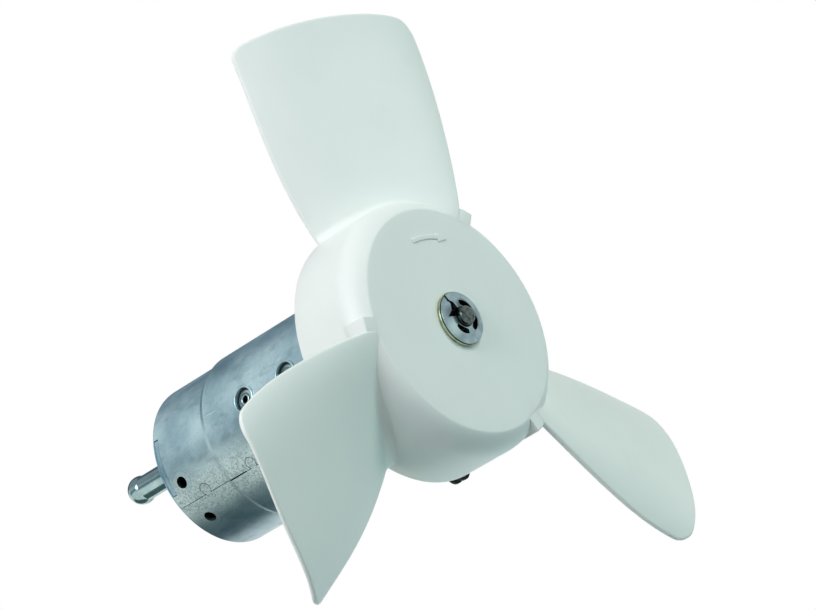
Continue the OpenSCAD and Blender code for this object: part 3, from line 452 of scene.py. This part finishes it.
def pad_shell(turn):
    """Flat pad that squares off the rim beside a blade's leading edge. Its profile grows under the
    blade from the rim's arc, sunk a little, to the full corner between the face's plane and the wall:
    each point is the arc's point times (1 - f) plus the corner's point times f, with f = t^2 (3 - 2t)."""
    top, out, lap, steps = 0.03, HUB_R - 0.04, 0.8, 22
    centre = HUB_R - HUB_ROUND
    low = arc(centre, RIM_AT, HUB_ROUND - lap, 0, -64, 24)
    way = np.linspace(0, 1, 24)[:, None]
    corner = np.where(way < 0.5, 1, 0)
    full = np.stack([np.where(way < 0.5, out, out - (out - low[-1, 0]) * (2 * way - 1))[:, 0],
                     np.where(way < 0.5, RIM_AT - (RIM_AT - top) * 2 * way, top)[:, 0]], axis=1)
    full[11] = [out, top + 0.5]
    full[12] = [out - 0.5, top]
    under = arc(centre, RIM_AT, HUB_ROUND - 2 * lap, -64, 0, 12)
    begin, grown, end = PAD_ANGLES
    t = np.concatenate([np.linspace(0, 1, steps - 6), np.ones(6)])
    angle = turn + np.concatenate([np.linspace(begin, grown, steps - 6), np.linspace(grown + 1, end - 0.3, 4),
                                   [end - 0.08, end]])
    soft = np.array([0.0] * (steps - 2) + [0.08, 0.3])
    grow = (t**2 * (3 - 2 * t))[:, None, None]
    rows = np.concatenate([low + (full - low) * grow, np.broadcast_to(under, (steps,) + under.shape)], axis=1)
    c = np.array([out - 1.6, 1.7])
    away = rows - c
    size = np.linalg.norm(away, axis=2, keepdims=True)
    rows = c + away * (1 - np.minimum(soft[:, None, None] / size, 0.9))
    n = rows.shape[1]
    body = place(rows[..., 0], angle[:, None], rows[..., 1]).reshape(-1, 3)
    ends = np.stack([body[:n].mean(axis=0), body[-n:].mean(axis=0)])
    i = np.arange(n)
    last = (steps - 1) * n
    quads = [grid_quads(steps, n, False, True),
             np.stack([i, steps * n + 0 * i, steps * n + 0 * i, (i + 1) % n], 1),
             np.stack([last + (i + 1) % n, steps * n + 1 + 0 * i, steps * n + 1 + 0 * i, last + i], 1)]
    return np.concatenate([body, ends]), np.concatenate(quads)


def arrow_shells(turn):
    """Raised rotation arrow: a curved bar with rounded edges and a pointed head."""
    start, end, r, rise = turn - 18.0, turn + 7.0, 36.1, 0.5
    bar = rounded([[r - 1, -rise], [r + 1, -rise], [r + 1, 0.4], [r - 1, 0.4]], [0.95, 0.35, 0, 0], 6)
    mid = direction(end)[[0, 2]] * r
    out = direction(end)[[0, 2]]
    ahead = direction(end + 90)[[0, 2]]
    head = [mid + 2.15 * out - 0.3 * ahead, mid - 0.4 * out + 5.2 * ahead, mid - 2.15 * out - 0.3 * ahead]
    head = rounded(np.array(head), 0.5, 4)
    return [sector(bar, start, end, 30, soft=0.35), low_plate(head, -rise, 0.4, 0.4)]


def nut_shell():
    """Push-on spring nut: a dished sheet on a grid of radius and angle. Three kidney slots lie in its
    middle, and beside the radial slit a wedge is open to the bore. Past the wedge the sheet bends down
    towards the slit."""
    slit, bore, out, thick, seat = -57.0, 4.35, 11.3, 0.7, -1.45
    rise, dish_in, dish_out = 1.05, 7.2, 9.3
    slot_r, slot_half, wedge = 6.2, 30.0, 54.0
    angle = np.linspace(slit + 0.5, slit + 357.5, 180)
    cell = (angle[1:] + angle[:-1]) / 2
    place_in_slot = ((angle - slit) % 90 - (90 - slot_half)) / slot_half
    swell = np.clip(1 - place_in_slot**2, 0, 1) ** 0.35
    wide = 0.45 + 0.85 * swell
    across = np.clip((angle - (slit + 360 - wedge / 2)) / (wedge / 2), -1, 1)
    in_wedge = angle > slit + 360 - wedge - 2
    r_in, r_out = slot_r - wide, np.where(in_wedge, 6.3 + 2.1 * np.abs(across) ** 1.6, slot_r + wide)
    whole = 0 * angle
    lines = [bore + whole, bore + 0.12 + whole, (bore + r_in) / 2, r_in, (r_in + r_out) / 2, r_out,
             np.maximum(r_out, dish_in) + 0.1]
    lines += [lines[-1] + k * (dish_out - lines[-1]) for k in (0.25, 0.5, 0.75, 1)]
    lines += [10.2 + whole, out - 0.15 + whole, out + whole]
    r = np.stack(lines)
    x = np.clip((dish_out - r) / (dish_out - dish_in), 0, 1)
    bend = np.clip((angle - (slit + 360 - wedge - 2)) / 4, 0, 1) * (0.5 + 0.5 * (across + 1) / 2)
    low = seat - rise * x * x * (3 - 2 * x) + 0.7 * bend * np.clip((11.0 - r) / 5.0, 0.1, 1) - 0.3 * np.clip((slit + 40 - angle) / 40, 0, 1)
    edge = (r > out - 0.01) | (r < bore + 0.01)
    front = place(r, angle[None], low - thick + 0.12 * edge)
    back = place(r, angle[None], low - 0.25 * edge)
    solid = np.ones((len(lines) - 1, len(cell)), bool)
    solid[3:5, (cell - slit) % 90 > 90 - 2 * slot_half] = False
    solid[:5, cell > slit + 360 - 2 * slot_half] = True
    solid[:5, cell > slit + 360 - wedge] = False
    return pierced_sheet(front, back, solid)


# Materials


def linear(hex_colour):
    """sRGB hex value to linear red, green, blue and alpha."""
    c = [int(hex_colour[k:k + 2], 16) / 255 for k in (1, 3, 5)]
    return tuple(v / 12.92 if v <= 0.04045 else ((v + 0.055) / 1.055) ** 2.4 for v in c) + (1.0,)


def add_node(tree, kind, inputs=None, **settings):
    """Adds a node, sets its properties, and sets or links its inputs."""
    made = tree.nodes.new(kind)
    for key, value in settings.items():
        setattr(made, key, value)
    for key, value in (inputs or {}).items():
        socket = made.inputs[key]
        if isinstance(value, bpy.types.NodeSocket):
            tree.links.new(value, socket)
        else:
            socket.default_value = value
    return made


def new_material(name):
    """Empty node material, its tree and its object coordinates."""
    material = bpy.data.materials.new(name)
    material.use_nodes = True
    tree = material.node_tree
    tree.nodes.clear()
    return material, tree, add_node(tree, "ShaderNodeTexCoord").outputs["Object"]


def finish(tree, shader_inputs):
    """Closes a material: a principled surface on the output."""
    shader = add_node(tree, "ShaderNodeBsdfPrincipled", shader_inputs)
    add_node(tree, "ShaderNodeOutputMaterial", {"Surface": shader.outputs[0]})


def patches(tree, where, size_mm, low, high, amount=1.0, detail=4.0, stretch=(1, 1, 1)):
    """Soft patches about size_mm across: noise, drawn out along an axis, cut between two levels."""
    vector = add_node(tree, "ShaderNodeMapping", {"Vector": where, "Scale": stretch}).outputs[0]
    cloud = add_node(tree, "ShaderNodeTexNoise", {"Vector": vector, "Scale": 1000.0 / size_mm,
                                                  "Detail": detail, "Roughness": 0.55}).outputs["Fac"]
    return add_node(tree, "ShaderNodeMapRange", {"Value": cloud, "From Min": low, "From Max": high,
                                                 "To Max": amount}, clamp=True).outputs[0]


def relief(tree, where, size_mm, height_mm, strength=0.35):
    """Fine uneven skin: noise about size_mm across, taken as a height."""
    grain = add_node(tree, "ShaderNodeTexNoise", {"Vector": where, "Scale": 1000.0 / size_mm}).outputs["Fac"]
    return add_node(tree, "ShaderNodeBump", {"Height": grain, "Distance": height_mm * MM,
                                             "Strength": strength}).outputs["Normal"]


def specks(tree, where, spacing_mm, size_mm):
    """Sparse round dots: 1 where a scattered point is nearer than the dot's radius."""
    far = add_node(tree, "ShaderNodeTexVoronoi", {"Vector": where, "Scale": 1000.0 / spacing_mm}).outputs["Distance"]
    near = size_mm / 2 / spacing_mm
    return add_node(tree, "ShaderNodeMapRange", {"Value": far, "From Min": near, "From Max": near * 0.6},
                    clamp=True).outputs[0]


def near_line(tree, where, x_mm, z_mm, inner_mm, outer_mm, amount=1.0):
    """Spot round a line along the shaft's direction: amount within the inner distance, 0 beyond the
    outer one."""
    flat = add_node(tree, "ShaderNodeMapping", {"Vector": where, "Scale": (1, 0, 1)}).outputs[0]
    far = add_node(tree, "ShaderNodeVectorMath", {0: flat, 1: (x_mm * MM, 0, z_mm * MM)},
                   operation="DISTANCE").outputs["Value"]
    return add_node(tree, "ShaderNodeMapRange", {"Value": far, "From Min": outer_mm * MM,
                                                 "From Max": inner_mm * MM, "To Max": amount},
                    clamp=True).outputs[0]


def ring_mark(tree, where, point_mm, radius_mm, width_mm, amount):
    """Faint circle on a surface: amount where the distance to a point is the radius, give or take half
    the width."""
    far = add_node(tree, "ShaderNodeVectorMath", {0: where, 1: tuple(v * MM for v in point_mm)},
                   operation="DISTANCE").outputs["Value"]
    off = add_node(tree, "ShaderNodeMath", {0: far, 1: radius_mm * MM}, operation="SUBTRACT").outputs[0]
    off = add_node(tree, "ShaderNodeMath", {0: off}, operation="ABSOLUTE").outputs[0]
    return add_node(tree, "ShaderNodeMapRange", {"Value": off, "From Min": width_mm / 2 * MM,
                                                 "From Max": 0.0, "To Max": amount}, clamp=True).outputs[0]


def painted(tree, ground, *layers):
    """Colour of a ground with layers laid over it; each layer is a factor and a colour."""
    tone = ground
    for factor, colour in layers:
        tone = add_node(tree, "ShaderNodeMix", {0: factor, 6: tone, 7: colour}, data_type="RGBA").outputs[2]
    return tone


def moulded_polypropylene(colour):
    """White polypropylene, injection moulded: satin, slightly see-through skin with a faint orange
    peel, a little grey handling dirt and a few dark specks."""
    material, tree, where = new_material("moulded_polypropylene")
    tone = painted(tree, tuple(colour),
                   (patches(tree, where, 45, 0.40, 0.75), tuple(v * 0.965 for v in colour[:3]) + (1.0,)),
                   (patches(tree, where, 16, 0.62, 0.85, 0.22, stretch=(1, 0.4, 0.5)), linear("#D3E1DD")),
                   (specks(tree, where, 30, 0.7), linear("#6E7370")))
    finish(tree, {"Base Color": tone, "Roughness": 0.45, "IOR": 1.49, "Subsurface Weight": 0.12,
                  "Subsurface Radius": (1.0, 1.0, 1.0), "Subsurface Scale": 0.002,
                  "Normal": relief(tree, where, 1.6, 0.012, 0.3)})
    return material


def zinc_plated_can(bright, dull):
    """Zinc plated, rolled and drawn sheet: bluish dull metal with broad soft patches, fine scratches
    along the shaft, speckled grain beside the seam and faint tool circles round the vent holes."""
    material, tree, where = new_material("zinc_plated_can")
    seam_x, _, seam_z = direction(SEAM_ANGLE) * CAN_R
    by_seam = near_line(tree, where, seam_x, seam_z, 3.0, 16.0, 0.6)
    grain = patches(tree, where, 0.9, 0.45, 0.62, detail=2)
    grain = add_node(tree, "ShaderNodeMath", {0: grain, 1: by_seam}, operation="MULTIPLY").outputs[0]
    layers = [(patches(tree, where, 26, 0.38, 0.64, detail=3), tuple(dull)),
              (patches(tree, where, 6, 0.52, 0.70, 0.45, stretch=(1, 0.5, 1)), linear("#607C86")),
              (patches(tree, where, 0.8, 0.50, 0.70, 0.22, detail=2), linear("#5F7880")),
              (patches(tree, where, 1.0, 0.66, 0.74, 0.5, stretch=(1, 0.06, 1)), linear("#D9E6EA")),
              # Painted reflection: a lighter band along the seam
              (near_line(tree, where, seam_x, seam_z, 5.0, 20.0, 0.45), linear("#CDDDD2")),
              (grain, linear("#5E7376"))]
    for angle in VENT_ANGLES:
        point = direction(angle) * CAN_REAR_R
        point[1] = VENT_DEPTH - DATUM
        layers.append((ring_mark(tree, where, point, 4.9, 0.35, 0.45), linear("#4E626A")))
    gloss = patches(tree, where, 12, 0.35, 0.7, 0.12)
    gloss = add_node(tree, "ShaderNodeMath", {0: gloss, 1: 0.30}, operation="ADD").outputs[0]
    finish(tree, {"Base Color": painted(tree, tuple(bright), *layers), "Metallic": 1.0, "Roughness": gloss,
                  "Normal": relief(tree, where, 1.1, 0.012)})
    return material


def plated_steel(name, colour, dull, patch_mm=6.0, rough=0.3, painted_light_spots=()):
    """Plated sheet steel: metal whose tone changes in soft patches, with fine grain. The spots are painted light:
    painted shade, highlights and reflections laid over the metal. Each spot is the x and z of a line along the
    shaft, an inner and an outer distance, an amount and a colour."""
    material, tree, where = new_material(name)
    layers = [(patches(tree, where, patch_mm, 0.36, 0.66), dull),
              (patches(tree, where, 0.7, 0.55, 0.8, 0.35, detail=2), tuple(min(1, v * 1.3) for v in colour[:3]) + (1.0,))]
    for *spot, tint in painted_light_spots:
        layers.append((near_line(tree, where, *spot), tint))
    finish(tree, {"Base Color": painted(tree, colour, *layers), "Metallic": 1.0, "Roughness": rough,
                  "Normal": relief(tree, where, 0.8, 0.008)})
    return material


def simple_surface(name, colour, size_mm, metallic=0.0, rough=0.5, depth_mm=0.02, spread=0.85):
    """One substance with a fine tone variation and relief at a real grain size."""
    material, tree, where = new_material(name)
    darker = tuple(v * spread for v in colour[:3]) + (1.0,)
    tone = painted(tree, colour, (patches(tree, where, size_mm, 0.3, 0.7), darker))
    finish(tree, {"Base Color": tone, "Metallic": metallic, "Roughness": rough,
                  "Normal": relief(tree, where, size_mm, depth_mm)})
    return material


def dress(material, *nodes):
    """Gives CAD nodes a material in their own slots."""
    for name in nodes:
        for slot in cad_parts[name].material_slots:
            slot.material = material


# Sizes and colours


class FanSizes(bpy.types.PropertyGroup):
    """Sizes of the looks that can be changed"""

    blade_turn: bpy.props.FloatProperty(
        name="Blade turn", description="Angle of the first blade's centre line",
        default=math.radians(-25.5), subtype="ANGLE")
    floor_height: bpy.props.FloatProperty(
        name="Floor height", description="Height of the floor under the part",
        default=-2.2, subtype="DISTANCE", unit="LENGTH")
    lens: bpy.props.FloatProperty(
        name="Lens", description="Focal length of the camera", default=187.2, subtype="DISTANCE_CAMERA")


class FanColours(bpy.types.PropertyGroup):
    """Colours of the looks that can be changed"""

    plastic: bpy.props.FloatVectorProperty(
        name="Fan plastic", description="Colour of the fan moulding", size=4,
        default=linear("#E8F3EF"), subtype="COLOR", min=0, max=1)
    zinc: bpy.props.FloatVectorProperty(
        name="Zinc", description="Bright patches of the zinc plating", size=4,
        default=linear("#B2CCD2"), subtype="COLOR", min=0, max=1)
    zinc_dark: bpy.props.FloatVectorProperty(
        name="Dull zinc", description="Dull patches of the zinc plating", size=4,
        default=linear("#86A5AF"), subtype="COLOR", min=0, max=1)
    yellow_zinc: bpy.props.FloatVectorProperty(
        name="Yellow zinc", description="Yellow plating of the flat washer", size=4,
        default=linear("#B0BEA0"), subtype="COLOR", min=0, max=1)
    floor: bpy.props.FloatVectorProperty(
        name="Floor", description="Colour of the floor", size=4,
        default=linear("#F2F2F2"), subtype="COLOR", min=0, max=1)


# Operators


class FAN_OT_moulding(bpy.types.Operator):
    """Make the one-piece fan moulding: hub cup, blades, root pads, ribs and arrow"""

    bl_idname = "cooling_fan.moulding"
    bl_label = "Fan moulding"

    def execute(self, context):
        turn = math.degrees(context.scene.fan_sizes.blade_turn)
        shells = [hub_shell()]
        for k in range(3):
            shells += [blade_shell(turn + 120 * k), pad_shell(turn + 120 * k)]
        for k in range(6):
            shells.append(rib_shell(turn + 60 * k))
        slot_at = BOSS_DEPTH - PIN_SLOT
        half = rounded([[SHAFT_R + 0.05, slot_at - 0.1], [BOSS_R, slot_at - 0.1], [BOSS_R, BOSS_DEPTH],
                        [SHAFT_R + 0.05, BOSS_DEPTH]], 0.3)
        for side in (0, 180):
            shells.append(sector(half, turn + side - 90, turn + side + 90, 40, gap=1.6))
        shells += arrow_shells(turn)
        material = moulded_polypropylene(context.scene.fan_colours.plastic)
        make_piece("fan_moulding", shells, material, "rotor", ["fan"], sharp=32)
        return {"FINISHED"}


class FAN_OT_fastening(bpy.types.Operator):
    """Make the flat washer, the spring nut and the shaft"""

    bl_idname = "cooling_fan.fastening"
    bl_label = "Washer, nut and shaft"

    def execute(self, context):
        colours = context.scene.fan_colours
        # Painted shade: the washer turns near black inside the nut's rim, for the shadow under the nut and in its
        # open wedge
        painted_shade_under_nut = (0, 0, 11.35, 11.6, 1.0, linear("#1C211C"))
        yellow = plated_steel("yellow_zinc_plate", tuple(colours.yellow_zinc), linear("#869070"), 3.0,
                              0.32, [painted_shade_under_nut])
        washer = rounded([[4.2, -1.4], [11.7, -1.4], [11.7, 0.0], [4.2, 0.0]], 0.35)
        make_piece("washer_flat", [turned(washer, 128)], yellow, "rotor", ["flat_washer"])
        # Painted light on the nut: the first two spots are painted shade in a crescent above and right of the shaft,
        # the third a painted highlight at the lower left, the last painted shade on the bent left sector
        nut = plated_steel("zinc_plated_spring_steel", linear("#8FA8AC"), linear("#778E94"), 4.0, 0.27,
                           [(0.5, 4.2, 3.8, 5.4, 0.8, linear("#38454A")),
                            (5.0, 1.8, 2.6, 5.2, 0.65, linear("#38454A")),
                            (-4.4, -6.4, 1.0, 5.0, 0.9, linear("#A9C4C4")),
                            (-6.4, -0.4, 1.0, 3.6, 0.8, linear("#56656C"))])
        make_piece("push_on_nut", [nut_shell()], nut, "rotor", ["spring_nut"], bevel_mm=0.06)
        steel = plated_steel("oiled_shaft_steel", linear("#5C6A66"), linear("#2A3331"), 1.6, 0.2)
        tip, rear = -6.3, 150.85
        profile = np.concatenate([[[0, tip]], [[1.2, tip + 0.02]],
                                  arc(SHAFT_R - 1.7, tip + 1.75, 1.7, -88, 0, 8), [[SHAFT_R, rear]], [[0, rear]]])
        make_piece("motor_shaft", [turned(profile, 64)], steel, "rotor", ["shaft"])
        dress(steel, "drive_pin", "thrust_collar")
        dress(simple_surface("natural_nylon", linear("#D8D3C0"), 2.0), "slinger", "thrust_pad")
        return {"FINISHED"}


class FAN_OT_motor_shell(bpy.types.Operator):
    """Dress the motor's can, plates, spigot, bushes and eyelets"""

    bl_idname = "cooling_fan.motor_shell"
    bl_label = "Motor shell"

    def execute(self, context):
        colours = context.scene.fan_colours
        zinc = zinc_plated_can(colours.zinc, colours.zinc_dark)
        dress(zinc, "motor_can")
        dress(plated_steel("zinc_plated_fittings", linear("#A9C4CF"), linear("#82A2AE"), 9.0), "front_plate",
              "rear_cap")
        tube_x, _, tube_z = direction(SPIGOT_ANGLE) * SPIGOT_R
        # Painted reflections on the spigot: a dark blue band along its upper side and a dark green band along its
        # lower side
        dress(plated_steel("bright_zinc_tube", linear("#B4CFCB"), linear("#96B2B2"), 6.0, 0.16,
                           [(tube_x - 4.6, tube_z + 2.2, 3.4, 6.0, 0.8, linear("#3F5666")),
                            (tube_x + 3.9, tube_z - 4.0, 0.8, 2.6, 0.7, linear("#4C6662"))]),
              "vent_spigot")
        dress(simple_surface("black_rubber", linear("#15171A"), 0.8, rough=0.62, depth_mm=0.03),
              "side_bush_front", "side_bush_rear", "lead_grommet")
        nickel = plated_steel("nickel_plated_eyelets", linear("#9DB2B0"), linear("#7C9292"), 3.0, 0.26)
        rim_shells = []
        out = direction(BUSH_ANGLE)
        for depth in BUSH_DEPTHS:
            axis_point = np.array([0, depth - DATUM, 0])
            top = CAN_R - EYELET_SINK
            eyelet = np.concatenate([
                [[1.45, top - 3.7], [2.95, top - 3.7], [2.95, top - 0.5]],
                rounded([[3.2, top - 0.5], [4.15, top - 0.5], [4.15, top - 0.1], [2.9, top]], [0, 0.15, 0.2, 0], 4),
                [[2.8, top - 0.25], [2.6, top - 0.3]],
                arc(2.0, top + 0.05, 0.5, 0, 180, 9), [[1.45, top - 0.5]]])
            make_piece("eyelet_%s" % ("front" if depth < 80 else "rear"), [turned_about(axis_point, out, eyelet)],
                       nickel, "motor",
                       ["side_eyelet_front" if depth < 80 else "side_eyelet_rear"])
            rim = np.concatenate([[[4.88, CAN_R - 1.2]], arc(5.3, CAN_R + 0.30, 0.42, 180, 0, 9),
                                  [[5.72, CAN_R - 1.2]]])
            rim_shells.append(turned_about(axis_point, out, rim))
        make_piece("bush_rims", rim_shells, zinc, "motor")
        return {"FINISHED"}


class FAN_OT_motor_inside(bpy.types.Operator):
    """Dress the motor's inner pieces"""

    bl_idname = "cooling_fan.motor_inside"
    bl_label = "Motor inside"

    def execute(self, context):
        dress(simple_surface("sintered_bronze", linear("#A07B45"), 0.5, 1.0, 0.55), "front_bearing",
              "rear_bearing")
        dress(simple_surface("ferrite_magnet", linear("#3A3A3C"), 0.7, 0.0, 0.7), "magnet_a", "magnet_b")
        dress(simple_surface("bright_spring_steel", linear("#A9ADB0"), 1.0, 1.0, 0.3), "magnet_clip",
              "front_bearing_clip", "rear_bearing_clip", "brush_spring_a", "brush_spring_b")
        dress(simple_surface("varnished_laminations", linear("#565B60"), 0.5, 1.0, 0.5), "armature_core")
        dress(simple_surface("enamelled_copper", linear("#B0673A"), 0.6, 1.0, 0.35), "armature_windings",
              "choke_coils", "commutator_bars")
        dress(simple_surface("phenolic_moulding", linear("#4E3423"), 1.0, 0.0, 0.55), "commutator_hub",
              "brush_card")
        dress(simple_surface("paper_fibre", linear("#8A6341"), 0.8, 0.0, 0.7), "front_thrust_washer",
              "rear_thrust_washer")
        dress(simple_surface("rolled_brass", linear("#C4A45A"), 1.2, 1.0, 0.35), "brush_holder_a",
              "brush_holder_b")
        dress(simple_surface("copper_graphite", linear("#2C2A29"), 0.5, 0.0, 0.65), "brush_a", "brush_b")
        return {"FINISHED"}


class FAN_OT_stage(bpy.types.Operator):
    """Make the floor, the lights, the sky and the camera"""

    bl_idname = "cooling_fan.stage"
    bl_label = "Stage"

    def execute(self, context):
        scene = context.scene
        height = scene.fan_sizes.floor_height
        scene.view_settings.view_transform = "Standard"
        points = np.array([[-30, -30, height], [30, -30, height], [30, 30, height], [-30, 30, height]])
        mesh = bpy.data.meshes.new("floor")
        mesh.from_pydata(points.tolist(), [], [(0, 1, 2, 3)])
        floor = bpy.data.objects.new("floor", mesh)
        scene.collection.objects.link(floor)
        material, tree, where = new_material("pale_floor_paint")
        paint = add_node(tree, "ShaderNodeBsdfPrincipled", {
            "Base Color": painted(tree, tuple(scene.fan_colours.floor),
                                  (patches(tree, where, 900, 0.4, 0.7, 0.3), linear("#ECECEC"))),
            "Roughness": 0.8})
        path = add_node(tree, "ShaderNodeLightPath")
        seen = add_node(tree, "ShaderNodeMath", {0: path.outputs["Is Camera Ray"],
                                                 1: path.outputs["Is Glossy Ray"]}, operation="MAXIMUM")
        glow = add_node(tree, "ShaderNodeEmission", {"Color": (1, 1, 1, 1), "Strength": 1.0})
        mix = add_node(tree, "ShaderNodeMixShader", {0: seen.outputs[0], 1: paint.outputs[0],
                                                     2: glow.outputs[0]})
        add_node(tree, "ShaderNodeOutputMaterial", {"Surface": mix.outputs[0]})
        floor.data.materials.append(material)

        for name, away, side, shade in CARDS:
            n = np.array(away) / np.linalg.norm(away)
            u = np.cross(n, [0, 1.0, 0])
            u /= np.linalg.norm(u)
            v = np.cross(n, u)
            corners = [2.0 * n + side[0] * a * u + side[1] * b * v for a, b in ((-1, -1), (1, -1), (1, 1), (-1, 1))]
            mesh = bpy.data.meshes.new(name)
            mesh.from_pydata([c.tolist() for c in corners], [], [(0, 1, 2, 3)])
            card = bpy.data.objects.new(name, mesh)
            scene.collection.objects.link(card)
            material, tree, where = new_material(name + "_cloth")
            glow = add_node(tree, "ShaderNodeEmission", {"Color": linear(shade), "Strength": 1.0})
            add_node(tree, "ShaderNodeOutputMaterial", {"Surface": glow.outputs[0]})
            card.data.materials.append(material)
            for ray in ("camera", "diffuse", "transmission", "volume_scatter", "shadow"):
                setattr(card, "visible_" + ray, False)

        world = scene.world or bpy.data.worlds.new("studio")
        scene.world = world
        world.use_nodes = True
        tree = world.node_tree
        tree.nodes.clear()
        output = add_node(tree, "ShaderNodeOutputWorld")
        path = add_node(tree, "ShaderNodeLightPath")
        seen = add_node(tree, "ShaderNodeMath", {0: path.outputs["Is Camera Ray"],
                                                 1: path.outputs["Is Glossy Ray"]}, operation="MAXIMUM")
        seen = add_node(tree, "ShaderNodeMath", {0: seen.outputs[0],
                                                 1: path.outputs["Is Transmission Ray"]}, operation="MAXIMUM")
        soft = add_node(tree, "ShaderNodeBackground", {"Color": linear("#E4F0F0"), "Strength": 0.01})
        white = add_node(tree, "ShaderNodeBackground", {"Color": (1, 1, 1, 1), "Strength": 1.0})
        mix = add_node(tree, "ShaderNodeMixShader", {0: seen.outputs[0], 1: soft.outputs[0],
                                                     2: white.outputs[0]})
        tree.links.new(mix.outputs[0], output.inputs[0])

        for name, away, power, colour, in_gloss in LAMPS:
            light = bpy.data.lights.new(name, "AREA")
            light.shape = "DISK"
            light.size = 1.4
            light.energy = power
            light.color = linear(colour)[:3]
            lamp = bpy.data.objects.new(name, light)
            scene.collection.objects.link(lamp)
            lamp.location = 2.4 * Vector(away).normalized()
            lamp.rotation_euler = (-lamp.location).to_track_quat("-Z", "Y").to_euler()
            lamp.visible_camera = False
            lamp.visible_glossy = in_gloss

        camera_data = bpy.data.cameras.new("photo_camera")
        camera_data.lens = scene.fan_sizes.lens
        camera_data.sensor_width = 36.0
        camera_data.clip_end = 100.0
        camera = bpy.data.objects.new("photo_camera", camera_data)
        scene.collection.objects.link(camera)
        camera.location = (-0.95760, -1.07522, -0.91874)
        camera.rotation_euler = Euler((math.radians(90 + 33.29), 0.0, math.radians(-41.96)))
        scene.camera = camera
        return {"FINISHED"}


class FAN_PT_panel(bpy.types.Panel):
    """Lists the pieces of the cooling fan"""

    bl_label = "Cooling fan"
    bl_idname = "FAN_PT_panel"
    bl_space_type = "VIEW_3D"
    bl_region_type = "UI"
    bl_category = "Cooling fan"

    def draw(self, context):
        for operator in OPERATORS:
            self.layout.operator(operator.bl_idname)
        for group in (context.scene.fan_sizes, context.scene.fan_colours):
            for key in group.__annotations__:
                self.layout.prop(group, key)


OPERATORS = (FAN_OT_stage, FAN_OT_moulding, FAN_OT_fastening, FAN_OT_motor_shell, FAN_OT_motor_inside)
CLASSES = (FanSizes, FanColours) + OPERATORS + (FAN_PT_panel,)


def register():
    for cls in CLASSES:
        bpy.utils.register_class(cls)
    bpy.types.Scene.fan_sizes = bpy.props.PointerProperty(type=FanSizes)
    bpy.types.Scene.fan_colours = bpy.props.PointerProperty(type=FanColours)


def unregister():
    del bpy.types.Scene.fan_colours
    del bpy.types.Scene.fan_sizes
    for cls in reversed(CLASSES):
        bpy.utils.unregister_class(cls)


def main():
    register()
    bpy.ops.cooling_fan.stage()
    bpy.ops.cooling_fan.moulding()
    bpy.ops.cooling_fan.fastening()
    bpy.ops.cooling_fan.motor_shell()
    bpy.ops.cooling_fan.motor_inside()


if __name__ == "__main__":
    main()
